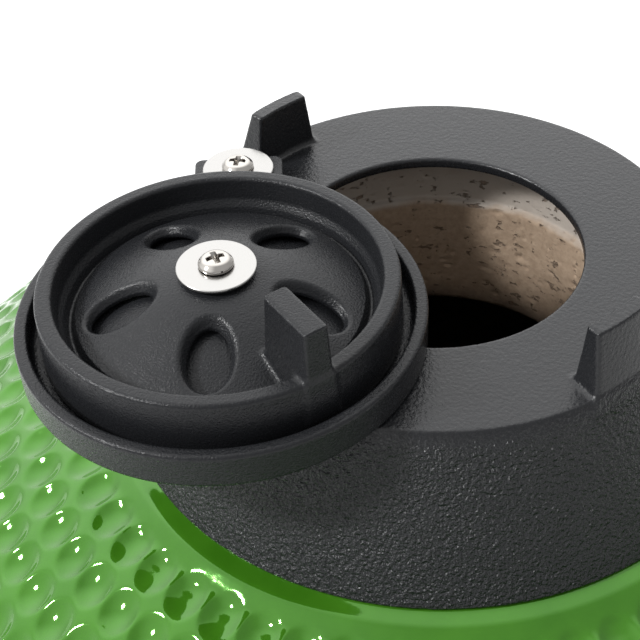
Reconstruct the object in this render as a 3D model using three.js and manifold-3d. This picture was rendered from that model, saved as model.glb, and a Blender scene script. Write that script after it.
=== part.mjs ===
// Kamado-type ceramic charcoal smoker with a cast-iron swing-lid top vent.
// Millimetres, +Z up, front of the cooker towards -Y, origin at the middle of the base's underside.

import * as THREE from 'three';
import { mergeVertices } from 'three/addons/utils/BufferGeometryUtils.js';
import Module from 'manifold-3d';

const wasm = await Module();
wasm.setup();

// ---------------------------------------------------------------- driving dimensions

const GAP = 0.3; // clearance between pieces that touch
const SEGMENTS = 40; // facets of every large turned piece
const VENT_SEGMENTS = 32; // facets of the lid and the daisy wheel
const SMALL_SEGMENTS = 16; // facets of screws, washers and knobs

const BODY_RADIUS = 320; // outside of the ceramic at its widest
const CERAMIC_WALL = 26;

const BASE_FOOT_RADIUS = 215;
const BASE_FOOT_HEIGHT = 12;
const BASE_SHOULDER_Z = 345; // the base is a plain cylinder above this height
const BASE_RIM_Z = 391;
const BASE_FLOOR_Z = 36;
const BASE_ROUNDNESS = 2.6; // exponent of the belly curve

const DOME_RIM_Z = 399;
const DOME_SPRING_Z = 440; // the dome is an ellipse above this height
const DOME_RISE = 260;
const DOME_INNER_RISE = 226;

const COLLAR_TOP_Z = 738; // top face of the vent collar
const COLLAR_HEIGHT = 56.6;
const COLLAR_TOP_RADIUS = 93.6;
const COLLAR_FOOT_RADIUS = 120;
const COLLAR_PLATE = 6.5;
const COLLAR_WALL = 8;
const VENT_RADIUS = 54;
const VENT_LIP = 2.6; // rounding of the vent hole's edge

const LUG_ANGLES = [129.5, -53]; // two upright lugs on the collar's rim
const LUG_SPAN = 18; // degrees
const LUG_HEIGHT = 22.5;
const LUG_INNER_RADIUS = 82;
const LUG_TOP_THICKNESS = 5.7;

const NECK_TOP_Z = 727;
const NECK_OUTER_RADIUS = 84;
const NECK_UPPER_BORE = 72.5;
const NECK_BORE = 70;
const NECK_LEDGE_Z = 706;
const NECK_BOTTOM_Z = 650;

const LID_CENTRE = [-75.2, -42.0]; // swung open
const LID_RADIUS = 68.7;
const LID_HEIGHT = 13;
const LID_RIM = 4.4;
const LID_FLOOR = 4.5;
const LID_LIFT = 0.5; // the lid runs this far above the collar
const PIVOT = [-70.0, 34.5];
const EAR_WIDTH = 33;
const EAR_REACH = 9; // past the pivot

const DAISY_RADIUS = 59.8;
const DAISY_RIM = 5.5;
const DAISY_TOP = 25.6; // above the lid's underside
const CROWN_TOP = 28.7; // middle of the crowned web, above the lid's underside
const CROWN_RADIUS = 73; // radius of the crown's curve
const TROUGH_RADIUS = 50.5;
const DAISY_WEB = 5;
const PETALS = 5;
const PETAL_ANGLE = -95;
const PETAL_PITCH_RADIUS = 32.5;
const PETAL_LENGTH = 21;
const PETAL_WIDTH = 14;
const KNOB_ANGLE = -58;
const KNOB_TOP = 44.5;
const KNOB_HALF_WIDTH = 5.2; // at its root, KNOB_ROOT_Z
const KNOB_ROOT_Z = 12;
const KNOB_TAPER = 1.1; // lost on each side from root to top

const WASHER_RADIUS = 13.3;
const WASHER_THICKNESS = 1.2;
const SCREW_HEAD_RADIUS = 5.9;
const SCREW_HEAD_HEIGHT = 3.6;
const SCREW_RADIUS = 3;

const BAND_THICKNESS = 2.5;
const BAND_WIDTH = 36;
const LOWER_BAND_Z = 352;
const UPPER_BAND_Z = 402;
const BAND_EAR_REACH = 24;
const BAND_EAR_THICKNESS = 5;
const BAND_SPLIT = 6;
const CLAMP_BOLT_REACH = 13; // from the band's outer face
const BOLT_HOLE = 4.3;
const HINGE_BOLT_ANGLES = [86, 94];
const HANDLE_BOLT_ANGLES = [-108.4, -71.6];

const PIN_Y = 368;
const PIN_Z = 396;
const PIN_RADIUS = 6;
const HINGE_EAR_X = 52;
const HINGE_ARM_X = 39;
const HINGE_PLATE = 8;
const HINGE_EYE_RADIUS = 14;
const SPRING_RADIUS = 9.6;
const SPRING_WIRE = 1.5;
const SPRING_TURNS = 5;

const HANDLE_Y = -378;
const HANDLE_Z = UPPER_BAND_Z + BAND_WIDTH / 2;
const HANDLE_BAR_RADIUS = 16;
const HANDLE_BAR_LENGTH = 250;
const HANDLE_ARM_X = 89;
const HANDLE_ARM_THICKNESS = 10;
const HANDLE_FOOT_TURN = 16; // degrees from the front to the middle of each foot
const HANDLE_FOOT_HALF_WIDTH = 21;
const HANDLE_FOOT_THICKNESS = 6;

const THERMOMETER_Z = 560;
const THERMOMETER_RADIUS = 38;
const PROBE_RADIUS = 3.4;

const DRAFT_Z = 88; // middle height of the draft opening
const DRAFT_OPENING = [-118, -92]; // degrees
const DRAFT_OPENING_HEIGHT = 56;
const DRAFT_FRAME_SPAN = 34; // degrees to each side of the front
const DRAFT_FRAME_HEIGHT = 82;
const DRAFT_DOOR = [-119, -91]; // closed
const DRAFT_SLOPE = 0.57; // radius gained per millimetre of height on the door's cone

// ---------------------------------------------------------------- materials

const finish = (color, roughness, metalness) => new THREE.MeshStandardMaterial({ color, roughness, metalness });

const greenGlaze = finish(0x3f8a2a, 0.12, 0.0);
const rawCeramic = finish(0xb59a7c, 0.9, 0.0);
const castIron = finish(0x2b2d30, 0.5, 0.35);
const blackSteel = finish(0x1d1e20, 0.45, 0.6);
const polishedSteel = finish(0xd8d6d0, 0.18, 1.0);
const brushedSteel = finish(0xa9a9a6, 0.35, 1.0);
const felt = finish(0xcfcabf, 0.95, 0.0);
const oiledWood = finish(0x9c6b3c, 0.55, 0.0);
const dialFace = finish(0xf2f1ec, 0.5, 0.0);
const needleRed = finish(0xb3241c, 0.45, 0.0);
const clearGlass = finish(0xeaf2f4, 0.05, 0.0);

// ---------------------------------------------------------------- solids

const radians = THREE.MathUtils.degToRad;
const flat = (x, y) => new THREE.Vector2(x, y);

/** Signed volume of an indexed geometry: negative when its faces point inwards. */
function signedVolume(position, index) {
  const a = new THREE.Vector3();
  const b = new THREE.Vector3();
  const c = new THREE.Vector3();
  let volume = 0;
  for (let i = 0; i < index.length; i += 3) {
    a.fromBufferAttribute(position, index[i]);
    b.fromBufferAttribute(position, index[i + 1]);
    c.fromBufferAttribute(position, index[i + 2]);
    volume += a.dot(b.cross(c)) / 6;
  }
  return volume;
}

/** The closed solid of a geometry: shared vertices merged, empty triangles dropped, faces outwards. */
function solid(geometry) {
  const bare = geometry.clone();
  bare.deleteAttribute('normal');
  bare.deleteAttribute('uv');
  const merged = mergeVertices(bare, 1e-4);
  const all = Array.from(merged.index.array);
  const index = [];
  for (let i = 0; i < all.length; i += 3) {
    const [a, b, c] = all.slice(i, i + 3);
    if (a !== b && b !== c && c !== a) {
      index.push(a, b, c);
    }
  }
  if (signedVolume(merged.attributes.position, index) < 0) {
    index.reverse();
  }
  const vertProperties = Float32Array.from(merged.attributes.position.array);
  const triVerts = Uint32Array.from(index);
  return new wasm.Manifold(new wasm.Mesh({ numProp: 3, vertProperties, triVerts }));
}

/** A mesh geometry from a solid. */
function geometryOf(body) {
  const mesh = body.getMesh();
  const geometry = new THREE.BufferGeometry();
  geometry.setAttribute('position', new THREE.BufferAttribute(Float32Array.from(mesh.vertProperties), 3));
  geometry.setIndex(new THREE.BufferAttribute(Uint32Array.from(mesh.triVerts), 1));
  geometry.computeVertexNormals();
  return geometry;
}

/** A solid of revolution about Z from [radius, height] points that close on themselves or on the axis. */
function turned(points, segments = SEGMENTS) {
  const profile = points.map(([r, z]) => flat(r, z));
  const onAxis = points[0][0] === 0 && points[points.length - 1][0] === 0;
  if (!onAxis) {
    profile.push(profile[0].clone());
  }
  return solid(new THREE.LatheGeometry(profile, segments).rotateX(Math.PI / 2));
}

/** A plain ring or disc about Z. */
function ring(outer, inner, low, high, segments = SEGMENTS) {
  if (inner === 0) {
    return turned([[0, low], [outer, low], [outer, high], [0, high]], segments);
  }
  return turned([[inner, low], [outer, low], [outer, high], [inner, high]], segments);
}

/** A box between two corners. */
function block(low, high) {
  const size = high.map((value, axis) => value - low[axis]);
  const centre = high.map((value, axis) => (value + low[axis]) / 2);
  return solid(new THREE.BoxGeometry(...size).translate(...centre));
}

/** A cylinder along X. */
function rodX(radius, from, to, y = 0, z = 0, segments = SMALL_SEGMENTS) {
  return ring(radius, 0, from, to, segments).rotate([0, 90, 0]).translate([0, y, z]);
}

/** An outline in the X-Y plane, extruded along Z. */
function extruded(shape, low, high, curveSegments = 10) {
  const options = { depth: high - low, bevelEnabled: false, curveSegments };
  return solid(new THREE.ExtrudeGeometry(shape, options).translate(0, 0, low));
}

/** An outline in the Y-Z plane, extruded along X. */
function extrudedX(shape, from, to, curveSegments = 10) {
  return extruded(shape, from, to, curveSegments).rotate([90, 0, 0]).rotate([0, 0, 90]);
}

/** A wedge of space about Z between two angles in degrees. */
function wedge(from, to, low, high, reach = 460) {
  const shape = new THREE.Shape([flat(0, 0)]);
  const steps = Math.ceil(Math.abs(to - from) / 20);
  for (let i = 0; i <= steps; i += 1) {
    const angle = radians(from + ((to - from) * i) / steps);
    shape.lineTo(reach * Math.cos(angle), reach * Math.sin(angle));
  }
  return extruded(shape, low, high);
}

const root = new THREE.Group();

/** Adds one named piece to a group. */
function add(name, body, material, group = root) {
  const mesh = new THREE.Mesh(geometryOf(body), material);
  mesh.name = name;
  group.add(mesh);
  return mesh;
}

// ---------------------------------------------------------------- ceramic body

/** Outside radius of the base at a height: a straight band over a rounded belly. */
function baseRadius(z, outer = BODY_RADIUS) {
  const drop = Math.max(0, BASE_SHOULDER_Z - z);
  const footShare = 1 - (BASE_FOOT_RADIUS / BODY_RADIUS) ** BASE_ROUNDNESS;
  const depth = (BASE_SHOULDER_Z - BASE_FOOT_HEIGHT) / footShare ** (1 / BASE_ROUNDNESS);
  return outer * (1 - (drop / depth) ** BASE_ROUNDNESS) ** (1 / BASE_ROUNDNESS);
}

/** Points down one wall of the base, from the rim to a height. */
function baseWall(outer, low, steps) {
  const points = [[outer, BASE_RIM_Z]];
  for (let i = 0; i <= steps; i += 1) {
    const z = BASE_SHOULDER_Z + ((low - BASE_SHOULDER_Z) * i) / steps;
    points.push([baseRadius(z, outer), z]);
  }
  return points;
}

function baseShell() {
  const outside = baseWall(BODY_RADIUS, BASE_FOOT_HEIGHT, 6);
  const inside = baseWall(BODY_RADIUS - CERAMIC_WALL, BASE_FLOOR_Z, 4).reverse();
  const points = [[0, BASE_FLOOR_Z], ...inside, ...outside, [BASE_FOOT_RADIUS, 0], [0, 0]];
  const [from, to] = DRAFT_OPENING;
  const low = DRAFT_Z - DRAFT_OPENING_HEIGHT / 2;
  return turned(points).subtract(wedge(from, to, low, low + DRAFT_OPENING_HEIGHT));
}

/** Points of an ellipse of the dome between two radii, from the larger to the smaller. */
function domeCurve(radius, rise, from, to, steps) {
  const start = Math.asin(from / radius);
  const end = Math.asin(to / radius);
  const points = [];
  for (let i = 0; i <= steps; i += 1) {
    const angle = start + ((end - start) * i) / steps;
    points.push([radius * Math.sin(angle), DOME_SPRING_Z + rise * Math.cos(angle)]);
  }
  return points;
}

function domeShell() {
  const innerRadius = BODY_RADIUS - CERAMIC_WALL;
  const neckRoot = 98;
  const outside = domeCurve(BODY_RADIUS, DOME_RISE, BODY_RADIUS, neckRoot, 7);
  const inside = domeCurve(innerRadius, DOME_INNER_RISE, innerRadius, 96, 4).reverse();
  const points = [
    [BODY_RADIUS, DOME_RIM_Z],
    ...outside,
    [NECK_OUTER_RADIUS + 2, 712],
    [NECK_OUTER_RADIUS, NECK_TOP_Z],
    [NECK_UPPER_BORE, NECK_TOP_Z],
    [NECK_UPPER_BORE, NECK_LEDGE_Z],
    [NECK_BORE, NECK_LEDGE_Z],
    [NECK_BORE, NECK_BOTTOM_Z + 10],
    [NECK_BORE + 6, NECK_BOTTOM_Z],
    ...inside,
    [innerRadius, DOME_RIM_Z],
  ];
  const probeHole = thermometerPlace(ring(5, 0, -60, 40, SMALL_SEGMENTS));
  return turned(points).subtract(probeHole);
}

function addCeramics() {
  add('base_shell', baseShell(), greenGlaze);
  add('dome_shell', domeShell(), greenGlaze);
  const gasketOuter = BODY_RADIUS - 3;
  const gasketInner = BODY_RADIUS - CERAMIC_WALL + 3;
  const middle = (BASE_RIM_Z + DOME_RIM_Z) / 2;
  add('base_gasket', ring(gasketOuter, gasketInner, BASE_RIM_Z + GAP, middle - GAP / 2, 30), felt);
  add('dome_gasket', ring(gasketOuter, gasketInner, middle + GAP / 2, DOME_RIM_Z - GAP, 30), felt);
}

// ---------------------------------------------------------------- fire parts

const FIREBOX_TOP_Z = 330;
const FIREBOX_FLOOR_Z = 156;
const FIREBOX_BOTTOM_Z = 132;
const FIREBOX_HOLE = 112;
const FIRE_GRATE_RADIUS = 128;
const FIRE_RING_TOP_Z = 384;
const GRATE_RADIUS = 262;

/** Bowl that holds the charcoal, with a shelf around its middle hole. */
function firebox() {
  return turned([
    [FIREBOX_HOLE, FIREBOX_BOTTOM_Z + 4],
    [232, FIREBOX_BOTTOM_Z],
    [268, FIREBOX_TOP_Z],
    [246, FIREBOX_TOP_Z],
    [216, FIREBOX_FLOOR_Z + 8],
    [198, FIREBOX_FLOOR_Z],
    [FIREBOX_HOLE, FIREBOX_FLOOR_Z],
  ]);
}

/** Ring that carries the firebox, with a notch behind the draft opening. */
function ashSkirt() {
  const low = BASE_FLOOR_Z + GAP;
  const high = FIREBOX_BOTTOM_Z - GAP;
  const skirt = turned([[180, low], [202, low], [228, high], [202, high]]);
  const notchLow = DRAFT_Z - DRAFT_OPENING_HEIGHT / 2 - 8;
  return skirt.subtract(wedge(-120, -90, notchLow, notchLow + DRAFT_OPENING_HEIGHT + 8));
}

function fireGrate() {
  const low = FIREBOX_FLOOR_Z + GAP;
  let plate = ring(FIRE_GRATE_RADIUS, 0, low, low + 10, 36);
  for (let row = -3; row <= 3; row += 1) {
    const reach = Math.sqrt(104 ** 2 - (row * 28) ** 2);
    const y = row * 28;
    plate = plate.subtract(block([-reach, y - 6, low - 1], [-5, y + 6, low + 11]));
    plate = plate.subtract(block([5, y - 6, low - 1], [reach, y + 6, low + 11]));
  }
  return plate;
}

function cookingGrate() {
  const wire = 4;
  const z = FIRE_RING_TOP_Z + GAP + wire;
  const rim = new THREE.TorusGeometry(GRATE_RADIUS, wire, 4, SEGMENTS).translate(0, 0, z);
  let grate = solid(rim);
  const pitch = 46;
  for (let row = -5; row <= 5; row += 1) {
    const reach = Math.sqrt(GRATE_RADIUS ** 2 - (row * pitch) ** 2);
    grate = grate.add(rodX(wire - 0.8, -reach, reach, row * pitch, z, 4));
  }
  const braceReach = Math.sqrt(GRATE_RADIUS ** 2 - 90 ** 2);
  const brace = rodX(wire - 0.4, -braceReach, braceReach, 0, 0, 4).rotate([0, 0, 90]);
  return grate.add(brace.translate([-90, 0, z])).add(brace.translate([90, 0, z]));
}

function addFireParts() {
  add('ash_skirt', ashSkirt(), rawCeramic);
  add('firebox', firebox(), rawCeramic);
  const ringProfile = [
    [268, FIREBOX_TOP_Z + GAP],
    [276, FIRE_RING_TOP_Z],
    [238, FIRE_RING_TOP_Z],
    [238, FIRE_RING_TOP_Z - 14],
    [247, FIRE_RING_TOP_Z - 22],
    [247, FIREBOX_TOP_Z + GAP],
  ];
  add('fire_ring', turned(ringProfile), rawCeramic);
  add('fire_grate', fireGrate(), castIron);
  add('cooking_grate', cookingGrate(), polishedSteel);
}

// ---------------------------------------------------------------- top vent

function collarBody() {
  const bottom = COLLAR_TOP_Z - COLLAR_HEIGHT;
  const underside = COLLAR_TOP_Z - COLLAR_PLATE;
  return turned([
    [COLLAR_FOOT_RADIUS, bottom],
    [COLLAR_TOP_RADIUS + 1, COLLAR_TOP_Z - 3],
    [COLLAR_TOP_RADIUS - 2, COLLAR_TOP_Z],
    [VENT_RADIUS + VENT_LIP, COLLAR_TOP_Z],
    [VENT_RADIUS, COLLAR_TOP_Z - VENT_LIP],
    [VENT_RADIUS, underside],
    [COLLAR_TOP_RADIUS - COLLAR_WALL, underside],
    [COLLAR_FOOT_RADIUS - COLLAR_WALL, bottom + 2.9],
  ]);
}

/** One upright lug: a short stretch of a tapered ring that continues the collar's wall. */
function collarLug(angle) {
  const foot = COLLAR_TOP_Z - 2;
  const top = COLLAR_TOP_Z + LUG_HEIGHT;
  const profile = [
    [LUG_INNER_RADIUS, foot],
    [COLLAR_TOP_RADIUS + 0.5, foot],
    [LUG_INNER_RADIUS + LUG_TOP_THICKNESS, top],
    [LUG_INNER_RADIUS, top],
  ];
  const lug = turned(profile, SEGMENTS * 2);
  return lug.intersect(wedge(angle - LUG_SPAN / 2, angle + LUG_SPAN / 2, foot - 1, top + 1));
}

function ventCollar() {
  let collar = collarBody();
  for (const angle of LUG_ANGLES) {
    collar = collar.add(collarLug(angle));
  }
  const bore = ring(SCREW_RADIUS + 0.3, 0, COLLAR_TOP_Z - 20, COLLAR_TOP_Z + 20, SMALL_SEGMENTS);
  return collar.subtract(bore.translate([...PIVOT, 0]));
}

/** Height of the crown of the daisy wheel above the lid's underside, at a radius. */
const crownHeight = (radius) => CROWN_TOP - radius ** 2 / (2 * CROWN_RADIUS);

/** Points of a curve parallel to the crown, from one radius to another. */
function crownCurve(from, to, below, steps = 4) {
  const points = [];
  for (let i = 0; i <= steps; i += 1) {
    const radius = from + ((to - from) * i) / steps;
    points.push([radius, crownHeight(radius) - below]);
  }
  return points;
}

/** The five petal-shaped holes, as solids to cut with, turned by an angle. */
function petals(turn) {
  const shape = new THREE.Shape();
  shape.absellipse(PETAL_PITCH_RADIUS, 0, PETAL_LENGTH / 2, PETAL_WIDTH / 2, 0, 2 * Math.PI, false, 0);
  const petal = extruded(shape, -5, 60, 8);
  let all = petal.rotate([0, 0, turn]);
  for (let i = 1; i < PETALS; i += 1) {
    all = all.add(petal.rotate([0, 0, turn + (360 * i) / PETALS]));
  }
  return all;
}

/** Rounded tab beside the lid, around its pivot. */
function lidEar() {
  const half = EAR_WIDTH / 2;
  const corner = 3;
  const x = PIVOT[0] - LID_CENTRE[0];
  const y = PIVOT[1] - LID_CENTRE[1];
  const top = y + EAR_REACH;
  const shape = new THREE.Shape();
  shape.moveTo(x - half, y - 26);
  shape.lineTo(x + half, y - 26);
  shape.lineTo(x + half, top - corner);
  shape.quadraticCurveTo(x + half, top, x + half - corner, top);
  shape.lineTo(x - half + corner, top);
  shape.quadraticCurveTo(x - half, top, x - half, top - corner);
  const well = ring(LID_RADIUS - LID_RIM + 1, 0, -1, LID_HEIGHT + 1, VENT_SEGMENTS);
  return extruded(shape, 0, LID_HEIGHT, 4).subtract(well);
}

function ventLid() {
  const floor = crownCurve(0, 52, DAISY_WEB + 1.4);
  const hollow = crownCurve(0, 48, DAISY_WEB + 1 + LID_FLOOR).reverse();
  const pan = turned([
    ...floor,
    [LID_RADIUS - LID_RIM, LID_FLOOR],
    [LID_RADIUS - LID_RIM, LID_HEIGHT],
    [LID_RADIUS, LID_HEIGHT],
    [LID_RADIUS, 0],
    [50, 0],
    ...hollow,
  ], VENT_SEGMENTS);
  const x = PIVOT[0] - LID_CENTRE[0];
  const y = PIVOT[1] - LID_CENTRE[1];
  const screwHole = ring(SCREW_RADIUS + 0.3, 0, -30, 40, SMALL_SEGMENTS);
  const cut = petals(PETAL_ANGLE + 180 / PETALS).add(screwHole).add(screwHole.translate([x, y, 0]));
  return pan.add(lidEar()).subtract(cut);
}

/** Radial grip that stands on the daisy wheel's web and rim. */
function daisyKnob() {
  const outline = new THREE.Shape();
  outline.moveTo(35, 17.5);
  outline.lineTo(50, 9.5);
  outline.lineTo(58.6, 9.5);
  outline.lineTo(58.2, KNOB_TOP);
  outline.lineTo(36.5, KNOB_TOP);
  const half = KNOB_HALF_WIDTH;
  const tilt = THREE.MathUtils.radToDeg(Math.atan(KNOB_TAPER / (KNOB_TOP - KNOB_ROOT_Z)));
  const fin = extruded(outline, -half, half).rotate([90, 0, 0]);
  const far = block([20, 0, -20], [70, 20, 70]).rotate([tilt, 0, 0]).translate([0, half, KNOB_ROOT_Z]);
  const near = block([20, -20, -20], [70, 0, 70]).rotate([-tilt, 0, 0]).translate([0, -half, KNOB_ROOT_Z]);
  return fin.subtract(far).subtract(near).rotate([0, 0, KNOB_ANGLE]);
}

function daisyWheel() {
  const inner = DAISY_RADIUS - DAISY_RIM;
  const trough = crownHeight(TROUGH_RADIUS);
  const wheel = turned([
    ...crownCurve(0, TROUGH_RADIUS, 0),
    [inner - 1.5, trough + 2],
    [inner, DAISY_TOP],
    [DAISY_RADIUS, DAISY_TOP],
    [DAISY_RADIUS + 0.8, LID_FLOOR + 1],
    [inner + 1, LID_FLOOR + 1],
    ...crownCurve(0, 46, DAISY_WEB).reverse(),
  ], VENT_SEGMENTS);
  const screwHole = ring(SCREW_RADIUS + 0.3, 0, -30, 60, SMALL_SEGMENTS);
  return wheel.add(daisyKnob()).subtract(petals(PETAL_ANGLE)).subtract(screwHole);
}

/** Pan-head screw standing on z = 0, its shank below. */
function panScrew(length, headRadius = SCREW_HEAD_RADIUS, headHeight = SCREW_HEAD_HEIGHT) {
  const points = [
    [0, -length],
    [SCREW_RADIUS, -length],
    [SCREW_RADIUS, GAP],
    [headRadius, GAP],
    [headRadius, headHeight * 0.45],
    [headRadius * 0.78, headHeight * 0.85],
    [headRadius * 0.4, headHeight],
    [0, headHeight],
  ];
  const slot = block([-3.4, -0.6, headHeight - 1.6], [3.4, 0.6, headHeight + 1]);
  return turned(points, SMALL_SEGMENTS).subtract(slot).subtract(slot.rotate([0, 0, 90]));
}

const washer = () => ring(WASHER_RADIUS, SCREW_RADIUS + 0.3, 0, WASHER_THICKNESS, 24);

/** Hexagonal nut with its bore, from z = 0 up. */
function hexNut(across, bore, height) {
  return ring(across / Math.sqrt(3), 0, 0, height, 6).subtract(ring(bore, 0, -1, height + 1, SMALL_SEGMENTS));
}

function addVent() {
  add('vent_collar', ventCollar(), castIron);
  add('neck_gasket', ring(NECK_OUTER_RADIUS - 1, NECK_UPPER_BORE + 2, NECK_TOP_Z + GAP, 731.2, 30), felt);

  const lid = new THREE.Group();
  lid.position.set(LID_CENTRE[0], LID_CENTRE[1], COLLAR_TOP_Z + LID_LIFT);
  root.add(lid);
  add('vent_lid', ventLid(), castIron, lid);
  add('daisy_wheel', daisyWheel(), castIron, lid);
  const washerZ = crownHeight(0) + GAP;
  add('daisy_washer', washer().translate([0, 0, washerZ]), polishedSteel, lid);
  const screwZ = washerZ + WASHER_THICKNESS;
  add('daisy_screw', panScrew(22).translate([0, 0, screwZ]), polishedSteel, lid);
  const nutTop = crownHeight(0) - DAISY_WEB - 1 - LID_FLOOR - 1.2;
  add('daisy_nut', hexNut(10, SCREW_RADIUS + 0.05, 5).translate([0, 0, nutTop - 5]), brushedSteel, lid);

  const pivot = new THREE.Group();
  pivot.position.set(...PIVOT, COLLAR_TOP_Z + LID_LIFT + LID_HEIGHT + GAP);
  root.add(pivot);
  add('pivot_washer', washer(), polishedSteel, pivot);
  add('pivot_screw', panScrew(19).translate([0, 0, WASHER_THICKNESS]), polishedSteel, pivot);
}

// ---------------------------------------------------------------- thermometer

const thermometerRadius = BODY_RADIUS * Math.sqrt(1 - ((THERMOMETER_Z - DOME_SPRING_Z) / DOME_RISE) ** 2);
const thermometerLean = THREE.MathUtils.radToDeg(
  Math.atan2((THERMOMETER_Z - DOME_SPRING_Z) / DOME_RISE ** 2, thermometerRadius / BODY_RADIUS ** 2),
);

/** Moves a solid whose +Z is the dial's axis to its place on the front of the dome. */
function thermometerPlace(body) {
  return body.rotate([90 - thermometerLean, 0, 0]).translate([0, -thermometerRadius, THERMOMETER_Z]);
}

function addThermometer() {
  const dial = new THREE.Group();
  dial.position.set(0, -thermometerRadius, THERMOMETER_Z);
  dial.rotation.x = radians(90 - thermometerLean);
  root.add(dial);
  const rim = THERMOMETER_RADIUS;
  const casing = turned([
    [4, 1.5],
    [rim - 5, 1.5],
    [rim, 5],
    [rim, 18],
    [rim - 1.5, 19.5],
    [rim - 5, 19.5],
    [rim - 5, 17.3],
    [rim - 2, 17.3],
    [rim - 2, 4],
    [4, 4],
  ], 24);
  add('thermometer_case', casing, polishedSteel, dial);
  add('thermometer_dial', ring(rim - 2.5, 2, 7, 8, 24), dialFace, dial);
  add('thermometer_lens', ring(rim - 2.4, 0, 15, 17, 24), clearGlass, dial);
  const probe = [[0, -72], [1.5, -70], [PROBE_RADIUS, -66], [PROBE_RADIUS, 4.5], [1.6, 4.5], [1.6, 9.5], [0, 9.5]];
  const stem = turned(probe, SMALL_SEGMENTS);
  add('thermometer_stem', stem, polishedSteel, dial);
  add('thermometer_nut', hexNut(18, PROBE_RADIUS + GAP, 6).translate([0, 0, -39.5]), brushedSteel, dial);
  const pointer = new THREE.Shape();
  pointer.moveTo(-1.6, -8);
  pointer.lineTo(1.6, -8);
  pointer.lineTo(0.5, 27);
  pointer.lineTo(-0.5, 27);
  const hub = ring(3.2, 0, 9.8, 12.2, 16);
  const needle = extruded(pointer, 10, 10.9).add(hub).rotate([0, 0, 135]);
  add('thermometer_needle', needle, needleRed, dial);
}

// ---------------------------------------------------------------- bands

const bandOuter = BODY_RADIUS + GAP + BAND_THICKNESS;

/** A split steel band with holes for the bolts that go through it. */
function clampBand(low, boltAngles) {
  const high = low + BAND_WIDTH;
  const half = BAND_SPLIT / 2;
  let band = ring(bandOuter, BODY_RADIUS + GAP, low, high);
  band = band.subtract(block([-half, -400, low - 1], [half, 0, high + 1]));
  for (const angle of boltAngles) {
    band = band.subtract(boltHole(angle, (low + high) / 2));
  }
  return band;
}

/** A radial bolt hole through whatever is near the band. */
function boltHole(angle, z, from = 300, radius = BOLT_HOLE) {
  return rodX(radius, from, 360, 0, z).rotate([0, 0, angle]);
}

/** One of the two plates welded beside a band's split, drilled for the clamp bolt. */
function bandEar(low, side) {
  const inner = side > 0 ? BAND_SPLIT / 2 : -BAND_SPLIT / 2 - BAND_EAR_THICKNESS;
  const face = -bandOuter - GAP;
  const ear = block([inner, face - BAND_EAR_REACH, low], [inner + BAND_EAR_THICKNESS, face, low + BAND_WIDTH]);
  return ear.subtract(rodX(BOLT_HOLE, -40, 40, -bandOuter - CLAMP_BOLT_REACH, low + BAND_WIDTH / 2));
}

/** Hexagon-head bolt along +X, its head's outer face at x = 0 and its shank towards -X. */
function hexBolt(length, radius = 4, across = 13, head = 5.3) {
  const hexagon = ring(across / Math.sqrt(3), 0, -head, 0, 6);
  return hexagon.add(ring(radius, 0, -length, -head + 0.5, 16)).rotate([0, 90, 0]);
}

function addBand(name, low, boltAngles) {
  add(name, clampBand(low, boltAngles), blackSteel);
  add(`${name}_ear_left`, bandEar(low, -1), blackSteel);
  add(`${name}_ear_right`, bandEar(low, 1), blackSteel);
  const y = -bandOuter - CLAMP_BOLT_REACH;
  const z = low + BAND_WIDTH / 2;
  const face = BAND_SPLIT / 2 + BAND_EAR_THICKNESS + GAP;
  const head = 5.3;
  const nut = 6.5;
  add(`${name}_bolt`, hexBolt(34, 4, 13, head).translate([face + head, y, z]), polishedSteel);
  add(`${name}_nut`, hexNut(13, 4.05, nut).rotate([0, 90, 0]).translate([-face - nut, y, z]), polishedSteel);
}

function addBands() {
  addBand('lower_band', LOWER_BAND_Z, HINGE_BOLT_ANGLES);
  addBand('upper_band', UPPER_BAND_Z, [...HINGE_BOLT_ANGLES, ...HANDLE_BOLT_ANGLES]);
}

/** A dome-head bolt that stands radially on a plate at an angle around the band. */
function radialBolt(angle, z, faceRadius) {
  const shank = faceRadius - BODY_RADIUS - 2 * GAP;
  const points = [[0, -shank], [4, -shank], [4, GAP], [8, GAP], [7, 3], [4, 4.6], [0, 5]];
  const bolt = turned(points, SMALL_SEGMENTS).rotate([0, 90, 0]);
  return bolt.translate([faceRadius, 0, z]).rotate([0, 0, angle]);
}

// ---------------------------------------------------------------- rear hinge

const bandFace = () => ring(bandOuter + GAP, 0, 0, 600);

/** An arm from a plate at the band to the eye around the hinge pin. */
function hingeArm(x, low, high) {
  const eye = HINGE_EYE_RADIUS;
  const outline = new THREE.Shape();
  outline.moveTo(bandOuter + 1, low);
  outline.lineTo(PIN_Y - 2, PIN_Z - eye);
  outline.absarc(PIN_Y, PIN_Z, eye, -Math.PI / 2, Math.PI / 2, false);
  outline.lineTo(bandOuter + 1, high);
  return extrudedX(outline, x - HINGE_PLATE / 2, x + HINGE_PLATE / 2, 8);
}

/** A plate on a band with two arms to the hinge pin. */
function hingeBracket(bandLow, armX, armLow, armHigh) {
  const face = bandOuter + HINGE_PLATE;
  const low = bandLow + 2;
  const high = bandLow + BAND_WIDTH - 2;
  let bracket = block([-60, 300, low], [60, face, high]);
  for (const side of [-1, 1]) {
    bracket = bracket.add(hingeArm(side * armX, armLow, armHigh));
  }
  bracket = bracket.subtract(bandFace()).subtract(rodX(PIN_RADIUS + 0.3, -80, 80, PIN_Y, PIN_Z));
  for (const angle of HINGE_BOLT_ANGLES) {
    bracket = bracket.subtract(boltHole(angle, bandLow + BAND_WIDTH / 2));
  }
  return bracket;
}

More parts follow.
